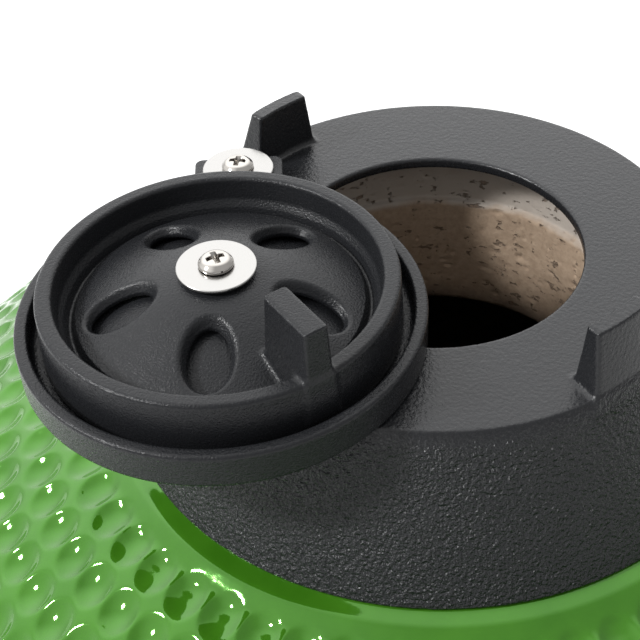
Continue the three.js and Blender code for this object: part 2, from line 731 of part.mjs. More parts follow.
/** The coil of a torsion spring around the hinge pin. */
class CoilPath extends THREE.Curve {
  constructor(from, to) {
    super();
    this.from = from;
    this.to = to;
  }

  getPoint(t, target = new THREE.Vector3()) {
    const angle = 2 * Math.PI * SPRING_TURNS * t;
    const x = this.from + (this.to - this.from) * t;
    return target.set(x, PIN_Y + SPRING_RADIUS * Math.cos(angle), PIN_Z + SPRING_RADIUS * Math.sin(angle));
  }
}

function hingeSpring(from, to) {
  const wire = new THREE.Shape();
  wire.absarc(0, 0, SPRING_WIRE, 0, 2 * Math.PI, false);
  const options = { extrudePath: new CoilPath(from, to), steps: SPRING_TURNS * 8, curveSegments: 3 };
  return solid(new THREE.ExtrudeGeometry(wire, options));
}

function addHinge() {
  const lower = hingeBracket(LOWER_BAND_Z, HINGE_EAR_X, LOWER_BAND_Z + 4, LOWER_BAND_Z + 34);
  const upper = hingeBracket(UPPER_BAND_Z, HINGE_ARM_X, UPPER_BAND_Z + 3, UPPER_BAND_Z + 32);
  add('hinge_base_bracket', lower, blackSteel);
  add('hinge_dome_bracket', upper, blackSteel);
  const reach = HINGE_EAR_X + HINGE_PLATE / 2;
  const head = rodX(PIN_RADIUS + 3, reach + GAP, reach + 4, PIN_Y, PIN_Z);
  add('hinge_pin', rodX(PIN_RADIUS, -reach - 8, reach + 2, PIN_Y, PIN_Z).add(head), polishedSteel);
  const clip = ring(PIN_RADIUS + 4, PIN_RADIUS + 0.2, 0, 2.5, SMALL_SEGMENTS).rotate([0, 90, 0]);
  add('hinge_pin_clip', clip.translate([-reach - 3, PIN_Y, PIN_Z]), polishedSteel);
  const inside = HINGE_ARM_X - HINGE_PLATE / 2 - 3;
  add('hinge_spring_left', hingeSpring(-inside, -3), brushedSteel);
  add('hinge_spring_right', hingeSpring(3, inside), brushedSteel);
  const bands = [['lower', LOWER_BAND_Z], ['upper', UPPER_BAND_Z]];
  for (const [name, z] of bands) {
    HINGE_BOLT_ANGLES.forEach((angle, i) => {
      const face = (bandOuter + HINGE_PLATE) / Math.cos(radians(90 - angle));
      add(`hinge_${name}_bolt_${i + 1}`, radialBolt(angle, z + BAND_WIDTH / 2, face + 0.6), polishedSteel);
    });
  }
}

// ---------------------------------------------------------------- front handle

/** A curved foot on the band with an arm that holds one end of the handle bar. */
function handleBracket(side) {
  const x = side * HANDLE_ARM_X;
  const low = UPPER_BAND_Z + 3;
  const high = UPPER_BAND_Z + BAND_WIDTH - 3;
  const face = bandOuter + HANDLE_FOOT_THICKNESS;
  const foot = block([300, -HANDLE_FOOT_HALF_WIDTH, low], [face, HANDLE_FOOT_HALF_WIDTH, high])
    .rotate([0, 0, -90 + side * HANDLE_FOOT_TURN]);
  const eye = HANDLE_BAR_RADIUS + 6;
  const outline = new THREE.Shape();
  outline.moveTo(-300, low);
  outline.lineTo(-300, high);
  outline.lineTo(HANDLE_Y + 8, HANDLE_Z + eye - 1);
  outline.absarc(HANDLE_Y, HANDLE_Z, eye, Math.PI / 2, (3 * Math.PI) / 2, false);
  outline.lineTo(HANDLE_Y + 8, HANDLE_Z - eye + 1);
  const half = HANDLE_ARM_THICKNESS / 2;
  const arm = extrudedX(outline, x - half, x + half, 12);
  const bar = rodX(HANDLE_BAR_RADIUS + GAP, -300, 300, HANDLE_Y, HANDLE_Z, 32);
  const boltAngle = HANDLE_BOLT_ANGLES[side > 0 ? 1 : 0];
  return foot.add(arm)
    .subtract(bandFace())
    .subtract(bar)
    .subtract(boltHole(boltAngle, HANDLE_Z, face, 9))
    .subtract(boltHole(boltAngle, HANDLE_Z));
}

function addHandle() {
  const half = HANDLE_BAR_LENGTH / 2;
  const bar = turned([
    [0, -half],
    [HANDLE_BAR_RADIUS - 3, -half],
    [HANDLE_BAR_RADIUS, -half + 3],
    [HANDLE_BAR_RADIUS, half - 3],
    [HANDLE_BAR_RADIUS - 3, half],
    [0, half],
  ], 32).rotate([0, 90, 0]).translate([0, HANDLE_Y, HANDLE_Z]);
  add('handle_bar', bar, oiledWood);
  const boltFace = bandOuter + HANDLE_FOOT_THICKNESS + 0.4;
  ['left', 'right'].forEach((name, i) => {
    add(`handle_bracket_${name}`, handleBracket(i === 0 ? -1 : 1), blackSteel);
    add(`handle_bolt_${name}`, radialBolt(HANDLE_BOLT_ANGLES[i], HANDLE_Z, boltFace), polishedSteel);
  });
}

// ---------------------------------------------------------------- draft door

const draftConeRadius = (z, offset) => baseRadius(DRAFT_Z) + (z - DRAFT_Z) * DRAFT_SLOPE + offset;

/** A curved strip on the draft door's cone, between two heights, two offsets and two angles. */
function draftStrip(low, high, inner, outer, from, to) {
  const strip = turned([
    [draftConeRadius(low, inner), low],
    [draftConeRadius(low, outer), low],
    [draftConeRadius(high, outer), high],
    [draftConeRadius(high, inner), high],
  ], SEGMENTS * 2);
  return strip.intersect(wedge(from, to, low - 1, high + 1));
}

function draftFrame() {
  const low = DRAFT_Z - DRAFT_FRAME_HEIGHT / 2;
  const high = DRAFT_Z + DRAFT_FRAME_HEIGHT / 2;
  const from = -90 - DRAFT_FRAME_SPAN;
  const to = -90 + DRAFT_FRAME_SPAN;
  const windowLow = DRAFT_Z - DRAFT_OPENING_HEIGHT / 2;
  const wall = turned([
    ...baseWall(BODY_RADIUS + 0.5, BASE_FOOT_HEIGHT, 6),
    [0, BASE_FOOT_HEIGHT],
    [0, BASE_RIM_Z],
  ]);
  let frame = draftStrip(low, high, -8, 3, from, to);
  frame = frame.subtract(wedge(...DRAFT_OPENING, windowLow, windowLow + DRAFT_OPENING_HEIGHT));
  frame = frame.add(draftStrip(low, low + 5, 2, 9, from, to));
  frame = frame.add(draftStrip(low + 4, low + 9, 7.2, 9, from, to));
  frame = frame.add(draftStrip(high - 5, high, 2, 9, from, to));
  frame = frame.add(draftStrip(high - 9, high - 4, 7.2, 9, from, to));
  return frame.subtract(wall);
}

/** Places a solid whose +Z is the outward direction on the draft door's cone. */
function onDraftCone(body, angle, z, offset) {
  const lean = THREE.MathUtils.radToDeg(Math.atan(DRAFT_SLOPE));
  return body
    .rotate([0, 90 + lean, 0])
    .translate([draftConeRadius(z, offset), 0, z])
    .rotate([0, 0, angle]);
}

function draftScreen() {
  const low = DRAFT_Z - DRAFT_OPENING_HEIGHT / 2 - 3;
  const high = DRAFT_Z + DRAFT_OPENING_HEIGHT / 2 + 3;
  let screen = draftStrip(low, high, 3.3, 4.1, DRAFT_OPENING[0] - 0.6, DRAFT_OPENING[1] + 0.6);
  for (let i = 0; i < 5; i += 1) {
    const angle = DRAFT_OPENING[0] + 3 + i * 5;
    screen = screen.subtract(wedge(angle - 1.4, angle + 1.4, low + 7, high - 7));
  }
  return screen;
}

function addDraftDoor() {
  add('draft_frame', draftFrame(), brushedSteel);
  add('draft_screen', draftScreen(), brushedSteel);
  const low = DRAFT_Z - DRAFT_FRAME_HEIGHT / 2 + 5.5;
  const high = DRAFT_Z + DRAFT_FRAME_HEIGHT / 2 - 5.5;
  const doorAngle = (DRAFT_DOOR[0] + DRAFT_DOOR[1]) / 2;
  const knobHole = onDraftCone(ring(2.3, 0, -10, 20, 12), doorAngle, DRAFT_Z, 6.5);
  const door = draftStrip(low, high, 4.5, 6.5, DRAFT_DOOR[0], DRAFT_DOOR[1]).subtract(knobHole);
  add('draft_door', door, brushedSteel);
  const knob = turned([[0, -1.4], [2, -1.4], [2, 1.5], [5, 1.5], [5, 5], [8, 9], [8, 13], [6, 15], [0, 15]], 12);
  add('draft_door_knob', onDraftCone(knob, doorAngle, DRAFT_Z, 6.5), polishedSteel);
  let number = 0;
  for (const side of [-1, 1]) {
    for (const rise of [-1, 1]) {
      number += 1;
      const head = turned([[0, 0], [4.5, 0], [4, 1.8], [2, 2.6], [0, 2.8]], 16);
      const angle = -90 + side * (DRAFT_FRAME_SPAN - 2);
      add(`draft_frame_screw_${number}`, onDraftCone(head, angle, DRAFT_Z + rise * 22, 3.5), polishedSteel);
    }
  }
}

// ---------------------------------------------------------------- assembly

addCeramics();
addFireParts();
addVent();
addThermometer();
addBands();
addHinge();
addHandle();
addDraftDoor();

export default root;
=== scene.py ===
"""Looks of a kamado-type ceramic smoker with a cast-iron swing-lid top vent.

Lengths are in millimetres unless said, in the CAD model's frame."""

import math

import bpy
import numpy as np
from mathutils import Matrix, Vector


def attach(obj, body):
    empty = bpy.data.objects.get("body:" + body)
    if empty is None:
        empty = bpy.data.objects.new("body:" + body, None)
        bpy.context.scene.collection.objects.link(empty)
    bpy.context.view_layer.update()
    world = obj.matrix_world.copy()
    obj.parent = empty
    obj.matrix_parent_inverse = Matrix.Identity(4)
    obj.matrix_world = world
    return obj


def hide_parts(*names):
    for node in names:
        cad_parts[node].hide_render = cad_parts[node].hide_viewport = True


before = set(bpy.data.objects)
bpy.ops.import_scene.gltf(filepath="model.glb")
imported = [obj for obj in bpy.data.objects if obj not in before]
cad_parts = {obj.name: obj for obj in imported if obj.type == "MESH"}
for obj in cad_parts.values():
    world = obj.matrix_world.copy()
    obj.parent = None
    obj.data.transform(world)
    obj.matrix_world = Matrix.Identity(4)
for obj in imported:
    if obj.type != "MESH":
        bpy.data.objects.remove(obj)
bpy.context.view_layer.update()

MM = 0.001
TAU = 2 * math.pi

# ---- dimensions

BODY_RADIUS = 320
INNER_RADIUS = 294
DOME_Z = 440
DOME_HEIGHT = 260
INNER_HEIGHT = 226
BASE_CURVE_Z = 345
FOOT_Z = 12
FOOT_RADIUS = 215
COLLAR_TOP = 738
LID_CENTRE = (-75.2, -42.0)
LID_Z = COLLAR_TOP + 0.5
PIVOT = (-70.0, 34.5)
CROWN_TOP = 28.7
CROWN_RADIUS = 73
CROWN_SLOPE = 0.41
PETAL_ANGLE = -95
WASHER_THICKNESS = 1.2
KNOB_ANGLE = -58
LUG_ANGLES = (129.5, -53)
LUG_TOP = 760.5
DIMPLE_PITCH = 15.2
DIMPLE_ROW = 18.4
CERAMIC_COLUMNS = 1440
THERMOMETER_Z = 560
DRAFT_Z = 88
DRAFT_SLOPE = 0.57
DRAFT_HOLE = (-118, -92, 60, 116)
BAND_OUTER = 322.8
BAND_HEIGHT = 36
PIN = (368, 396)
HANDLE = (-378, 420)

# ---- meshes from arrays


def merge(*shapes):
    """One shape from several. A shape is (points, [arrays of polygons])."""
    points, faces, offset = [], [], 0
    for p, polygons in shapes:
        points.append(p)
        faces += [f + offset for f in polygons]
        offset += len(p)
    return np.concatenate(points), faces


def moved(shape, matrix):
    """A shape put through a 4x4 matrix, in millimetres."""
    m = np.array(matrix, float)
    return shape[0] @ m[:3, :3].T + m[:3, 3], shape[1]


def turn(degrees, axis):
    return Matrix.Rotation(math.radians(degrees), 4, axis)


def shift(x, y, z):
    return Matrix.Translation((x, y, z))


def piece(node, shape, body, finish, name=None, sharp=None, normals=None, index=None):
    """Makes a shown piece that rides on a body and stands for a CAD node, if one is given.
    A finish is the record's slot and the materials that the piece takes from it."""
    name = name or node + "_look"
    points, polygons = shape
    slot_name, *materials = finish
    loops = np.concatenate([f.ravel() for f in polygons]).astype(np.int32)
    sizes = np.concatenate([np.full(len(f), f.shape[1]) for f in polygons])
    mesh = bpy.data.meshes.new(name)
    mesh.vertices.add(len(points))
    mesh.vertices.foreach_set("co", (points * MM).astype(np.float32).ravel())
    mesh.loops.add(len(loops))
    mesh.loops.foreach_set("vertex_index", loops)
    mesh.polygons.add(len(sizes))
    mesh.polygons.foreach_set("loop_start", (np.cumsum(sizes) - sizes).astype(np.int32))
    if index is not None:
        mesh.polygons.foreach_set("material_index", index.astype(np.int32))
    mesh.update(calc_edges=True)
    mesh.shade_smooth()
    if sharp is not None:
        mesh.set_sharp_from_angle(angle=math.radians(sharp))
    if normals is not None:
        mesh.normals_split_custom_set_from_vertices(normals)
    for m in materials:
        mesh.materials.append(m)
    obj = bpy.data.objects.new(name, mesh)
    bpy.context.scene.collection.objects.link(obj)
    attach(obj, body)
    if node:
        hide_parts(node)
    return obj


def rounded(corners, steps=5):
    """A closed outline from (u, v, radius) corners, each one rounded by an arc."""
    out = []
    count = len(corners)
    for i, (u, v, radius) in enumerate(corners):
        here = np.array([u, v], float)
        before = np.array(corners[i - 1][:2], float) - here
        after = np.array(corners[(i + 1) % count][:2], float) - here
        if radius <= 0:
            out.append(tuple(here))
            continue
        a, b = before / np.linalg.norm(before), after / np.linalg.norm(after)
        half = math.acos(max(-1, min(1, float(a @ b)))) / 2
        reach = min(radius / math.tan(half), 0.49 * min(np.linalg.norm(before), np.linalg.norm(after)))
        r = reach * math.tan(half)
        centre = here + (a + b) / np.linalg.norm(a + b) * r / math.sin(half)
        start, end = here + a * reach - centre, here + b * reach - centre
        s, e = math.atan2(start[1], start[0]), math.atan2(end[1], end[0])
        sweep = (e - s + math.pi) % TAU - math.pi
        for k in range(steps + 1):
            t = s + sweep * k / steps
            out.append((centre[0] + r * math.cos(t), centre[1] + r * math.sin(t)))
    return out


def lathe(outline, columns=256, start=None, end=None, relief=None):
    """A closed outline of (radius, z) turned about Z, all round or from start to end in degrees.
    Relief gives how far the outline's points stand out at each angle."""
    profile = np.array(outline, float)
    rows = len(profile)
    full = start is None
    angles = np.arange(columns) * TAU / columns if full else np.radians(np.linspace(start, end, columns))
    d = np.zeros((rows, columns)) if relief is None else relief(profile, angles)
    area = np.sum(profile[:, 0] * np.roll(profile[:, 1], -1) - np.roll(profile[:, 0], -1) * profile[:, 1])
    if area < 0:
        profile, d = profile[::-1], d[::-1]
    tangent = np.roll(profile, -1, 0) - np.roll(profile, 1, 0)
    tangent /= np.maximum(np.linalg.norm(tangent, axis=1, keepdims=True), 1e-9)
    r = profile[:, :1] + tangent[:, 1:] * d
    z = profile[:, 1:] - tangent[:, :1] * d
    points = np.stack([r * np.cos(angles), r * np.sin(angles), z], 2).reshape(-1, 3)
    faces = [grid(rows, columns, True, full)]
    if not full:
        first = np.arange(rows) * columns
        faces += [first[None, :], (first + columns - 1)[::-1][None, :]]
    return points, faces


def grid(rows, columns, rows_close, columns_close):
    """Quads over rows of points, where each way may close on itself."""
    i, j = np.arange(rows if rows_close else rows - 1), np.arange(columns if columns_close else columns - 1)
    i, j = np.meshgrid(i, j, indexing="ij")
    i2, j2 = (i + 1) % rows, (j + 1) % columns
    corners = [i * columns + j, i * columns + j2, i2 * columns + j2, i2 * columns + j]
    return np.stack(corners, 2).reshape(-1, 4)


def tube(path, radius, sides=12, closed=False):
    """A round bar along a path of points."""
    path = np.array(path, float)
    tangent = np.roll(path, -1, 0) - np.roll(path, 1, 0)
    if not closed:
        tangent[0], tangent[-1] = path[1] - path[0], path[-1] - path[-2]
    tangent /= np.linalg.norm(tangent, axis=1, keepdims=True)
    normal = np.cross(tangent[0], (0.31, 0.17, 0.93))
    a = np.arange(sides)[:, None] * TAU / sides
    rings = []
    for p, t in zip(path, tangent):
        normal = normal - (normal @ t) * t
        normal /= np.linalg.norm(normal)
        rings.append(p + radius * (np.cos(a) * normal + np.sin(a) * np.cross(t, normal)))
    faces = [grid(len(path), sides, closed, True)]
    if not closed:
        first = np.arange(sides)
        faces += [first[::-1][None, :], (first + (len(path) - 1) * sides)[None, :]]
    return np.concatenate(rings), faces


def prism(outline, low, high):
    """A flat outline given a height."""
    count = len(outline)
    first = np.arange(count)
    points = np.array([(x, y, z) for z in (low, high) for x, y in outline])
    return points, [first[::-1][None, :], first[None, :] + count, grid(2, count, False, True)]


# ---- distance fields


def span(*parts):
    return np.sqrt(sum(c * c for c in parts))


def soft_min(a, b, k):
    h = np.clip(0.5 + 0.5 * (b - a) / k, 0, 1)
    return b + (a - b) * h - k * h * (1 - h)


def soft_max(a, b, k):
    return -soft_min(-a, -b, k)


def outline_distance(u, v, points):
    """Signed distance to a closed outline."""
    best = np.full(u.shape, 1e12)
    inside = np.zeros(u.shape, bool)
    for (ax, ay), (bx, by) in zip(points, points[1:] + points[:1]):
        ex, ey = bx - ax, by - ay
        if ex * ex + ey * ey < 1e-12:
            continue
        wx, wy = u - ax, v - ay
        t = np.clip((wx * ex + wy * ey) / (ex * ex + ey * ey), 0, 1)
        best = np.minimum(best, (wx - ex * t) ** 2 + (wy - ey * t) ** 2)
        if ey:
            inside ^= ((ay > v) != (by > v)) & (wx < ex * wy / ey)
    return np.where(inside, -1, 1) * np.sqrt(best)


def plate(d, w, half, r=1.0):
    """A flat outline's distance d given a thickness of 2 half along w, with rounded edges."""
    a, b = d + r, np.abs(w) - half + r
    return span(np.maximum(a, 0), np.maximum(b, 0)) + np.minimum(np.maximum(a, b), 0) - r


def box(x, y, z, low, high, r=1.0):
    q = [np.abs(c - (h + l) / 2) - (h - l) / 2 + r for c, l, h in zip((x, y, z), low, high)]
    outside = span(*[np.maximum(c, 0) for c in q])
    return outside + np.minimum(np.maximum(np.maximum(q[0], q[1]), q[2]), 0) - r


CORNERS = [(dx, dy, dz) for dx in (0, 1) for dy in (0, 1) for dz in (0, 1)]


def window(array, corner, size):
    """The part of an array that starts at a corner."""
    return array[tuple(slice(c, c + n) for c, n in zip(corner, size))]


def solid(field, low, high, step, block=4):
    """The surface where a field is zero, as (points, polygons) and its normals."""
    low, high = np.array(low, float), np.array(high, float)
    n = np.ceil((high - low) / (step * block)).astype(int)
    ticks = [low[a] + np.arange(n[a] + 1) * step * block for a in range(3)]
    coarse = field(*np.meshgrid(*ticks, indexing="ij"))
    near = np.abs(coarse) < step * block * 1.9
    hit = np.any([window(near, c, n) for c in CORNERS], axis=0)
    fine = n * block + 1
    value = np.ones(fine, np.float32)
    value[:-1, :-1, :-1] = np.kron(coarse[:-1, :-1, :-1], np.ones((block,) * 3)).astype(np.float32)
    cells = np.kron(hit, np.ones((block,) * 3, bool)).astype(bool)
    nodes = np.zeros(fine, bool)
    for c in CORNERS:
        window(nodes, c, cells.shape)[cells] = True
    at = np.nonzero(nodes)
    value[at] = field(*[low[a] + at[a] * step for a in range(3)])
    inside = value < 0
    count = np.zeros(cells.shape, np.int8)
    for c in CORNERS:
        count += window(inside, c, cells.shape)
    active = (count > 0) & (count < 8)
    cell = np.stack(np.nonzero(active), 1)
    number = np.full(cells.shape, -1, np.int64)
    number[active] = np.arange(len(cell))
    values = [value[tuple((cell + c).T)] for c in CORNERS]
    total, crossings = np.zeros((len(cell), 3)), np.zeros(len(cell))
    for a in range(8):
        for b in range(a + 1, 8):
            if sum(abs(p - q) for p, q in zip(CORNERS[a], CORNERS[b])) != 1:
                continue
            cut = (values[a] < 0) != (values[b] < 0)
            t = values[a] / np.where(cut, values[a] - values[b], 1)
            spot = np.array(CORNERS[a]) + t[:, None] * (np.array(CORNERS[b]) - np.array(CORNERS[a]))
            total += np.where(cut[:, None], spot, 0)
            crossings += cut
    points = low + (cell + total / crossings[:, None]) * step
    quads = []
    for axis in range(3):
        u, v = (axis + 1) % 3, (axis + 2) % 3
        e = np.stack(np.nonzero(np.diff(inside, axis=axis)), 1)
        e = e[(e[:, u] > 0) & (e[:, v] > 0) & (e[:, u] < cells.shape[u]) & (e[:, v] < cells.shape[v])]
        around = []
        for du, dv in ((1, 1), (0, 1), (0, 0), (1, 0)):
            c = e.copy()
            c[:, u] -= du
            c[:, v] -= dv
            around.append(number[tuple(c.T)])
        q = np.stack(around, 1)
        flip = ~inside[tuple(e.T)]
        q[flip] = q[flip][:, ::-1]
        quads.append(q)
    for _ in range(2):
        g = slope(field, points, step * 0.2)
        size = np.maximum((g * g).sum(1), 0.25)
        points -= np.clip(field(*points.T) / size, -step, step)[:, None] * g
    normals = slope(field, points, step * 0.3)
    normals /= np.maximum(np.linalg.norm(normals, axis=1, keepdims=True), 1e-9)
    return (points, [np.concatenate(quads)]), normals


def slope(field, points, h):
    """Gradient of a field at points."""
    sides = np.eye(3) * h
    return np.stack([(field(*(points + d).T) - field(*(points - d).T)) / (2 * h) for d in sides], 1)


def cast(node, field, low, high, step, body, finish, name=None, extra=(), place=None):
    """A piece from a distance field, with any extra plain shapes joined in."""
    shape, normals = solid(field, low, high, step)
    if place is not None:
        shape = moved(shape, place)
        normals = normals @ np.array(place, float)[:3, :3].T
    obj = piece(node, shape, body, finish, name, normals=normals)
    if extra:
        other = piece(None, merge(*extra), body, finish, node + "_part", sharp=40)
        bpy.context.view_layer.update()
        with bpy.context.temp_override(active_object=obj, selected_editable_objects=[obj, other]):
            bpy.ops.object.join()


# ---- shader nodes


def connect(owner, value, socket):
    """Gives a socket a value, or links another node's output to it."""
    if isinstance(value, bpy.types.NodeSocket):
        owner.node_tree.links.new(value, socket)
    else:
        socket.default_value = value


def add_node(owner, kind, inputs, **settings):
    node = owner.node_tree.nodes.new("ShaderNode" + kind)
    for name, value in settings.items():
        setattr(node, name, value)
    for key, value in inputs.items():
        connect(owner, value, node.inputs[key])
    return node


def coordinates(m, scale=(1, 1, 1)):
    where = add_node(m, "TexCoord", {}).outputs["Object"]
    return add_node(m, "Mapping", {"Vector": where, "Scale": scale}).outputs["Vector"]


def noise(m, vector, scale, detail=4.0, roughness=0.55, distortion=0.0):
    inputs = {"Vector": vector, "Scale": scale, "Detail": detail}
    inputs |= {"Roughness": roughness, "Distortion": distortion}
    return add_node(m, "TexNoise", inputs).outputs["Fac"]


def remap(m, value, from_low, from_high, to_low=0, to_high=1, curve="LINEAR"):
    inputs = {
        "Value": value, "From Min": from_low, "From Max": from_high, "To Min": to_low, "To Max": to_high
    }
    return add_node(m, "MapRange", inputs, interpolation_type=curve).outputs["Result"]


def math_node(m, operation, a, b):
    return add_node(m, "Math", {0: a, 1: b}, operation=operation).outputs["Value"]


def vector_math(m, operation, inputs):
    return add_node(m, "VectorMath", inputs, operation=operation).outputs["Value"]


def blend_colors(m, factor, a, b):
    """A colour between two, which are three numbers or another node's output."""
    a, b = [(*c, 1) if isinstance(c, tuple) else c for c in (a, b)]
    return add_node(m, "Mix", {0: factor, 6: a, 7: b}, data_type="RGBA").outputs[2]


def paint(m, shader, factor, a, b):
    connect(m, blend_colors(m, factor, a, b), shader.inputs["Base Color"])


def bump(m, shader, height, strength, distance, after=None):
    node = add_node(m, "Bump", {"Height": height, "Strength": strength, "Distance": distance})
    if after is not None:
        connect(m, after, node.inputs["Normal"])
    connect(m, node.outputs["Normal"], shader.inputs["Normal"])
    return node.outputs["Normal"]


# ---- materials


def new_material(name, color, roughness, metallic=0.0, coat=0.0, coat_roughness=0.05, specular=0.5):
    m = bpy.data.materials.new(name)
    m.use_nodes = True
    shader = m.node_tree.nodes["Principled BSDF"]
    shader.inputs["Base Color"].default_value = (*color, 1)
    shader.inputs["Roughness"].default_value = roughness
    shader.inputs["Metallic"].default_value = metallic
    shader.inputs["Coat Weight"].default_value = coat
    shader.inputs["Coat Roughness"].default_value = coat_roughness
    shader.inputs["Specular IOR Level"].default_value = specular
    return m, shader


def cast_iron(name, specular, grain, coarse, size, smooth_inside=None):
    """Satin black cast iron. Coarse is the height in metres of its sand-cast texture, whose grains
    are size metres across. It fades inside a radius about the Z axis where smooth_inside gives one."""
    m, s = new_material(name, (0.010, 0.0105, 0.012), 0.3, specular=specular)
    v = coordinates(m)
    speckle = noise(m, v, 2600, 3, 0.6)
    paint(m, s, speckle, (0.005, 0.0055, 0.0065), (0.015, 0.0155, 0.017))
    connect(m, remap(m, noise(m, v, 1500, 2), 0.3, 0.7, 0.16, 0.31), s.inputs["Roughness"])
    pebbles = noise(m, v, 1 / size, 2.0, 0.5)
    if smooth_inside:
        radius = vector_math(m, "LENGTH", {0: coordinates(m, (1, 1, 0))})
        fade = remap(m, radius, smooth_inside, smooth_inside + 0.003, 0.14)
        pebbles = math_node(m, "MULTIPLY", pebbles, fade)
    bump(m, s, pebbles, 1.0, coarse, after=bump(m, s, speckle, 0.5, grain))
    return m


def green_glaze():
    m, s = new_material(
        "green_glaze", (0.024, 0.098, 0.005), 0.07, coat=0.25, coat_roughness=0.03, specular=0.8
    )
    s.inputs["Specular Tint"].default_value = (0.42, 1.0, 0.26, 1)
    v = coordinates(m)
    paint(m, s, remap(m, noise(m, v, 26, 5, 0.6), 0.3, 0.7), (0.018, 0.08, 0.003), (0.032, 0.118, 0.007))
    bump(m, s, noise(m, v, 160, 2), 0.12, 0.0004)
    return m


def raw_ceramic(name, soot_and_shade):
    """Unglazed ceramic with chips, whose pits are darkened with painted shade. Where asked, its top band is
    paled to a sooty grey, and below the neck it is darkened with painted shade that stands for the unlit
    inside of the dome.
    """
    m, s = new_material(name, (0.42, 0.30, 0.2), 0.85)
    v = coordinates(m)
    grain = noise(m, v, 380, 5, 0.65)
    color = blend_colors(m, remap(m, grain, 0.3, 0.7), (0.25, 0.178, 0.12), (0.35, 0.263, 0.187))
    if soot_and_shade:
        height = add_node(m, "SeparateXYZ", {"Vector": v}).outputs["Z"]
        ragged = math_node(m, "ADD", height, remap(m, noise(m, v, 30, 4), 0.2, 0.8, -0.004, 0.004))
        color = blend_colors(m, remap(m, ragged, 0.7035, 0.7065), color, (0.36, 0.32, 0.28))
        # Painted shade: below the neck the colour fades almost to black, for the unlit inside of the dome.
        color = blend_colors(m, remap(m, ragged, 0.664, 0.650, 0, 0.9), color, (0.06, 0.045, 0.035))
    chips_and_shade = remap(m, noise(m, coordinates(m, (1, 1, 1.8)), 170, 5, 0.6), 0.61, 0.66)
    # Painted shade: the chips' pits are darkened in colour, as well as sunk by the bump below.
    paint(m, s, remap(m, chips_and_shade, 0, 1, 0, 0.75), color, (0.15, 0.10, 0.065))
    bump(m, s, chips_and_shade, 1.0, -0.0012, after=bump(m, s, grain, 0.5, 0.0006))
    return m


def steel(name, color, roughness, brushed=0.0):
    m, s = new_material(name, color, roughness, metallic=1.0)
    fine = noise(m, coordinates(m), 900, 3, 0.6)
    connect(m, remap(m, fine, 0.3, 0.7, roughness * 0.8, roughness * 1.3), s.inputs["Roughness"])
    if brushed:
        bump(m, s, noise(m, coordinates(m, (8, 8, 900)), 1.0, 3, 0.6), brushed, 0.0002)
    return m


def black_coat():
    m, s = new_material("black_powder_coat", (0.008, 0.008, 0.009), 0.36, specular=0.25)
    bump(m, s, noise(m, coordinates(m), 1100, 2), 0.3, 0.0003)
    return m


def wood():
    m, s = new_material("oiled_wood", (0.4, 0.2, 0.08), 0.42, coat=0.25, coat_roughness=0.3)
    rings = noise(m, coordinates(m, (0.08, 1, 1)), 260, 6, 0.65, 1.2)
    pores = noise(m, coordinates(m, (0.05, 1, 1)), 1500, 2)
    color = blend_colors(m, remap(m, rings, 0.35, 0.65), (0.20, 0.085, 0.03), (0.46, 0.24, 0.10))
    paint(m, s, remap(m, pores, 0.58, 0.7, 0, 0.7), color, (0.08, 0.035, 0.015))
    bump(m, s, pores, 0.3, 0.0004)
    return m


def felt():
    m, s = new_material("felt", (0.5, 0.47, 0.4), 0.95)
    weave = noise(m, coordinates(m), 700, 6, 0.8)
    paint(m, s, weave, (0.22, 0.2, 0.17), (0.72, 0.69, 0.6))
    bump(m, s, weave, 0.9, 0.001)
    return m


def lens_glass():
    m, s = new_material("lens_glass", (0.97, 0.99, 1.0), 0.02)
    s.inputs["Transmission Weight"].default_value = 1.0
    s.inputs["IOR"].default_value = 1.45
    return m


# Finishes: the record's slot, then the materials.
IRON_ROUGH = "cast_iron", cast_iron("cast_iron_collar", 0.3, 0.00012, 0.0018, 0.0013, 0.0935)
IRON = "cast_iron", cast_iron("cast_iron_smooth", 0.2, 0.00016, 0.00022, 0.0007)
GREEN = "green_glaze", green_glaze()
BORE = raw_ceramic("bore_ceramic", True)
CLAY = "raw_ceramic", raw_ceramic("fire_clay", False)
POLISHED = "polished_steel", steel("polished_steel", (0.5, 0.49, 0.47), 0.16)
SCREW = "polished_steel", new_material("screw_steel", (0.42, 0.4, 0.375), 0.1, metallic=1.0)[0]
WASHER = "polished_steel", new_material("washer_steel", (0.36, 0.354, 0.344), 0.24, metallic=1.0)[0]
BRUSHED = "brushed_steel", steel("brushed_steel", (0.34, 0.34, 0.335), 0.3, brushed=0.35)
SPRING = "brushed_steel", steel("spring_steel", (0.22, 0.22, 0.225), 0.28)
BLACK = "black_steel", black_coat()
WOOD = "oiled_wood", wood()
FELT = "felt", felt()
WHITE = "dial_face", new_material("dial_white", (0.86, 0.86, 0.83), 0.4)[0]
INK = "dial_face", new_material("dial_ink", (0.02, 0.02, 0.02), 0.5)[0]
RED = "needle_red", new_material("needle_red", (0.55, 0.03, 0.02), 0.35)[0]
GLASS = "lens_glass", lens_glass()

# ---- top vent


def crown(r):
    """Height of the daisy wheel's crown at a radius, a curve that runs out in a cone."""
    bend = np.minimum(r, CROWN_SLOPE * CROWN_RADIUS)
    return CROWN_TOP - bend * bend / (2 * CROWN_RADIUS) - CROWN_SLOPE * (r - bend)


def polar(x, y, degrees):
    """Coordinates along and across a ray at an angle."""
    c, s = math.cos(math.radians(degrees)), math.sin(math.radians(degrees))
    return x * c + y * s, y * c - x * s


def petal_distance(x, y, first, grow):
    """Distance to the nearest of five petals, with their outlines moved out by grow."""
    r, a = span(x, y), np.arctan2(y, x) - math.radians(first)
    a = (a + math.pi / 5) % (TAU / 5) - math.pi / 5
    u, v = r * np.cos(a) - 32.5, r * np.sin(a)
    along, across = 10.6, 7.0 + 0.035 * u
    k0 = span(u / along, v / across)
    k1 = span(u / along**2, v / across**2)
    return k0 * (k0 - 1) / np.maximum(k1, 1e-6) - grow


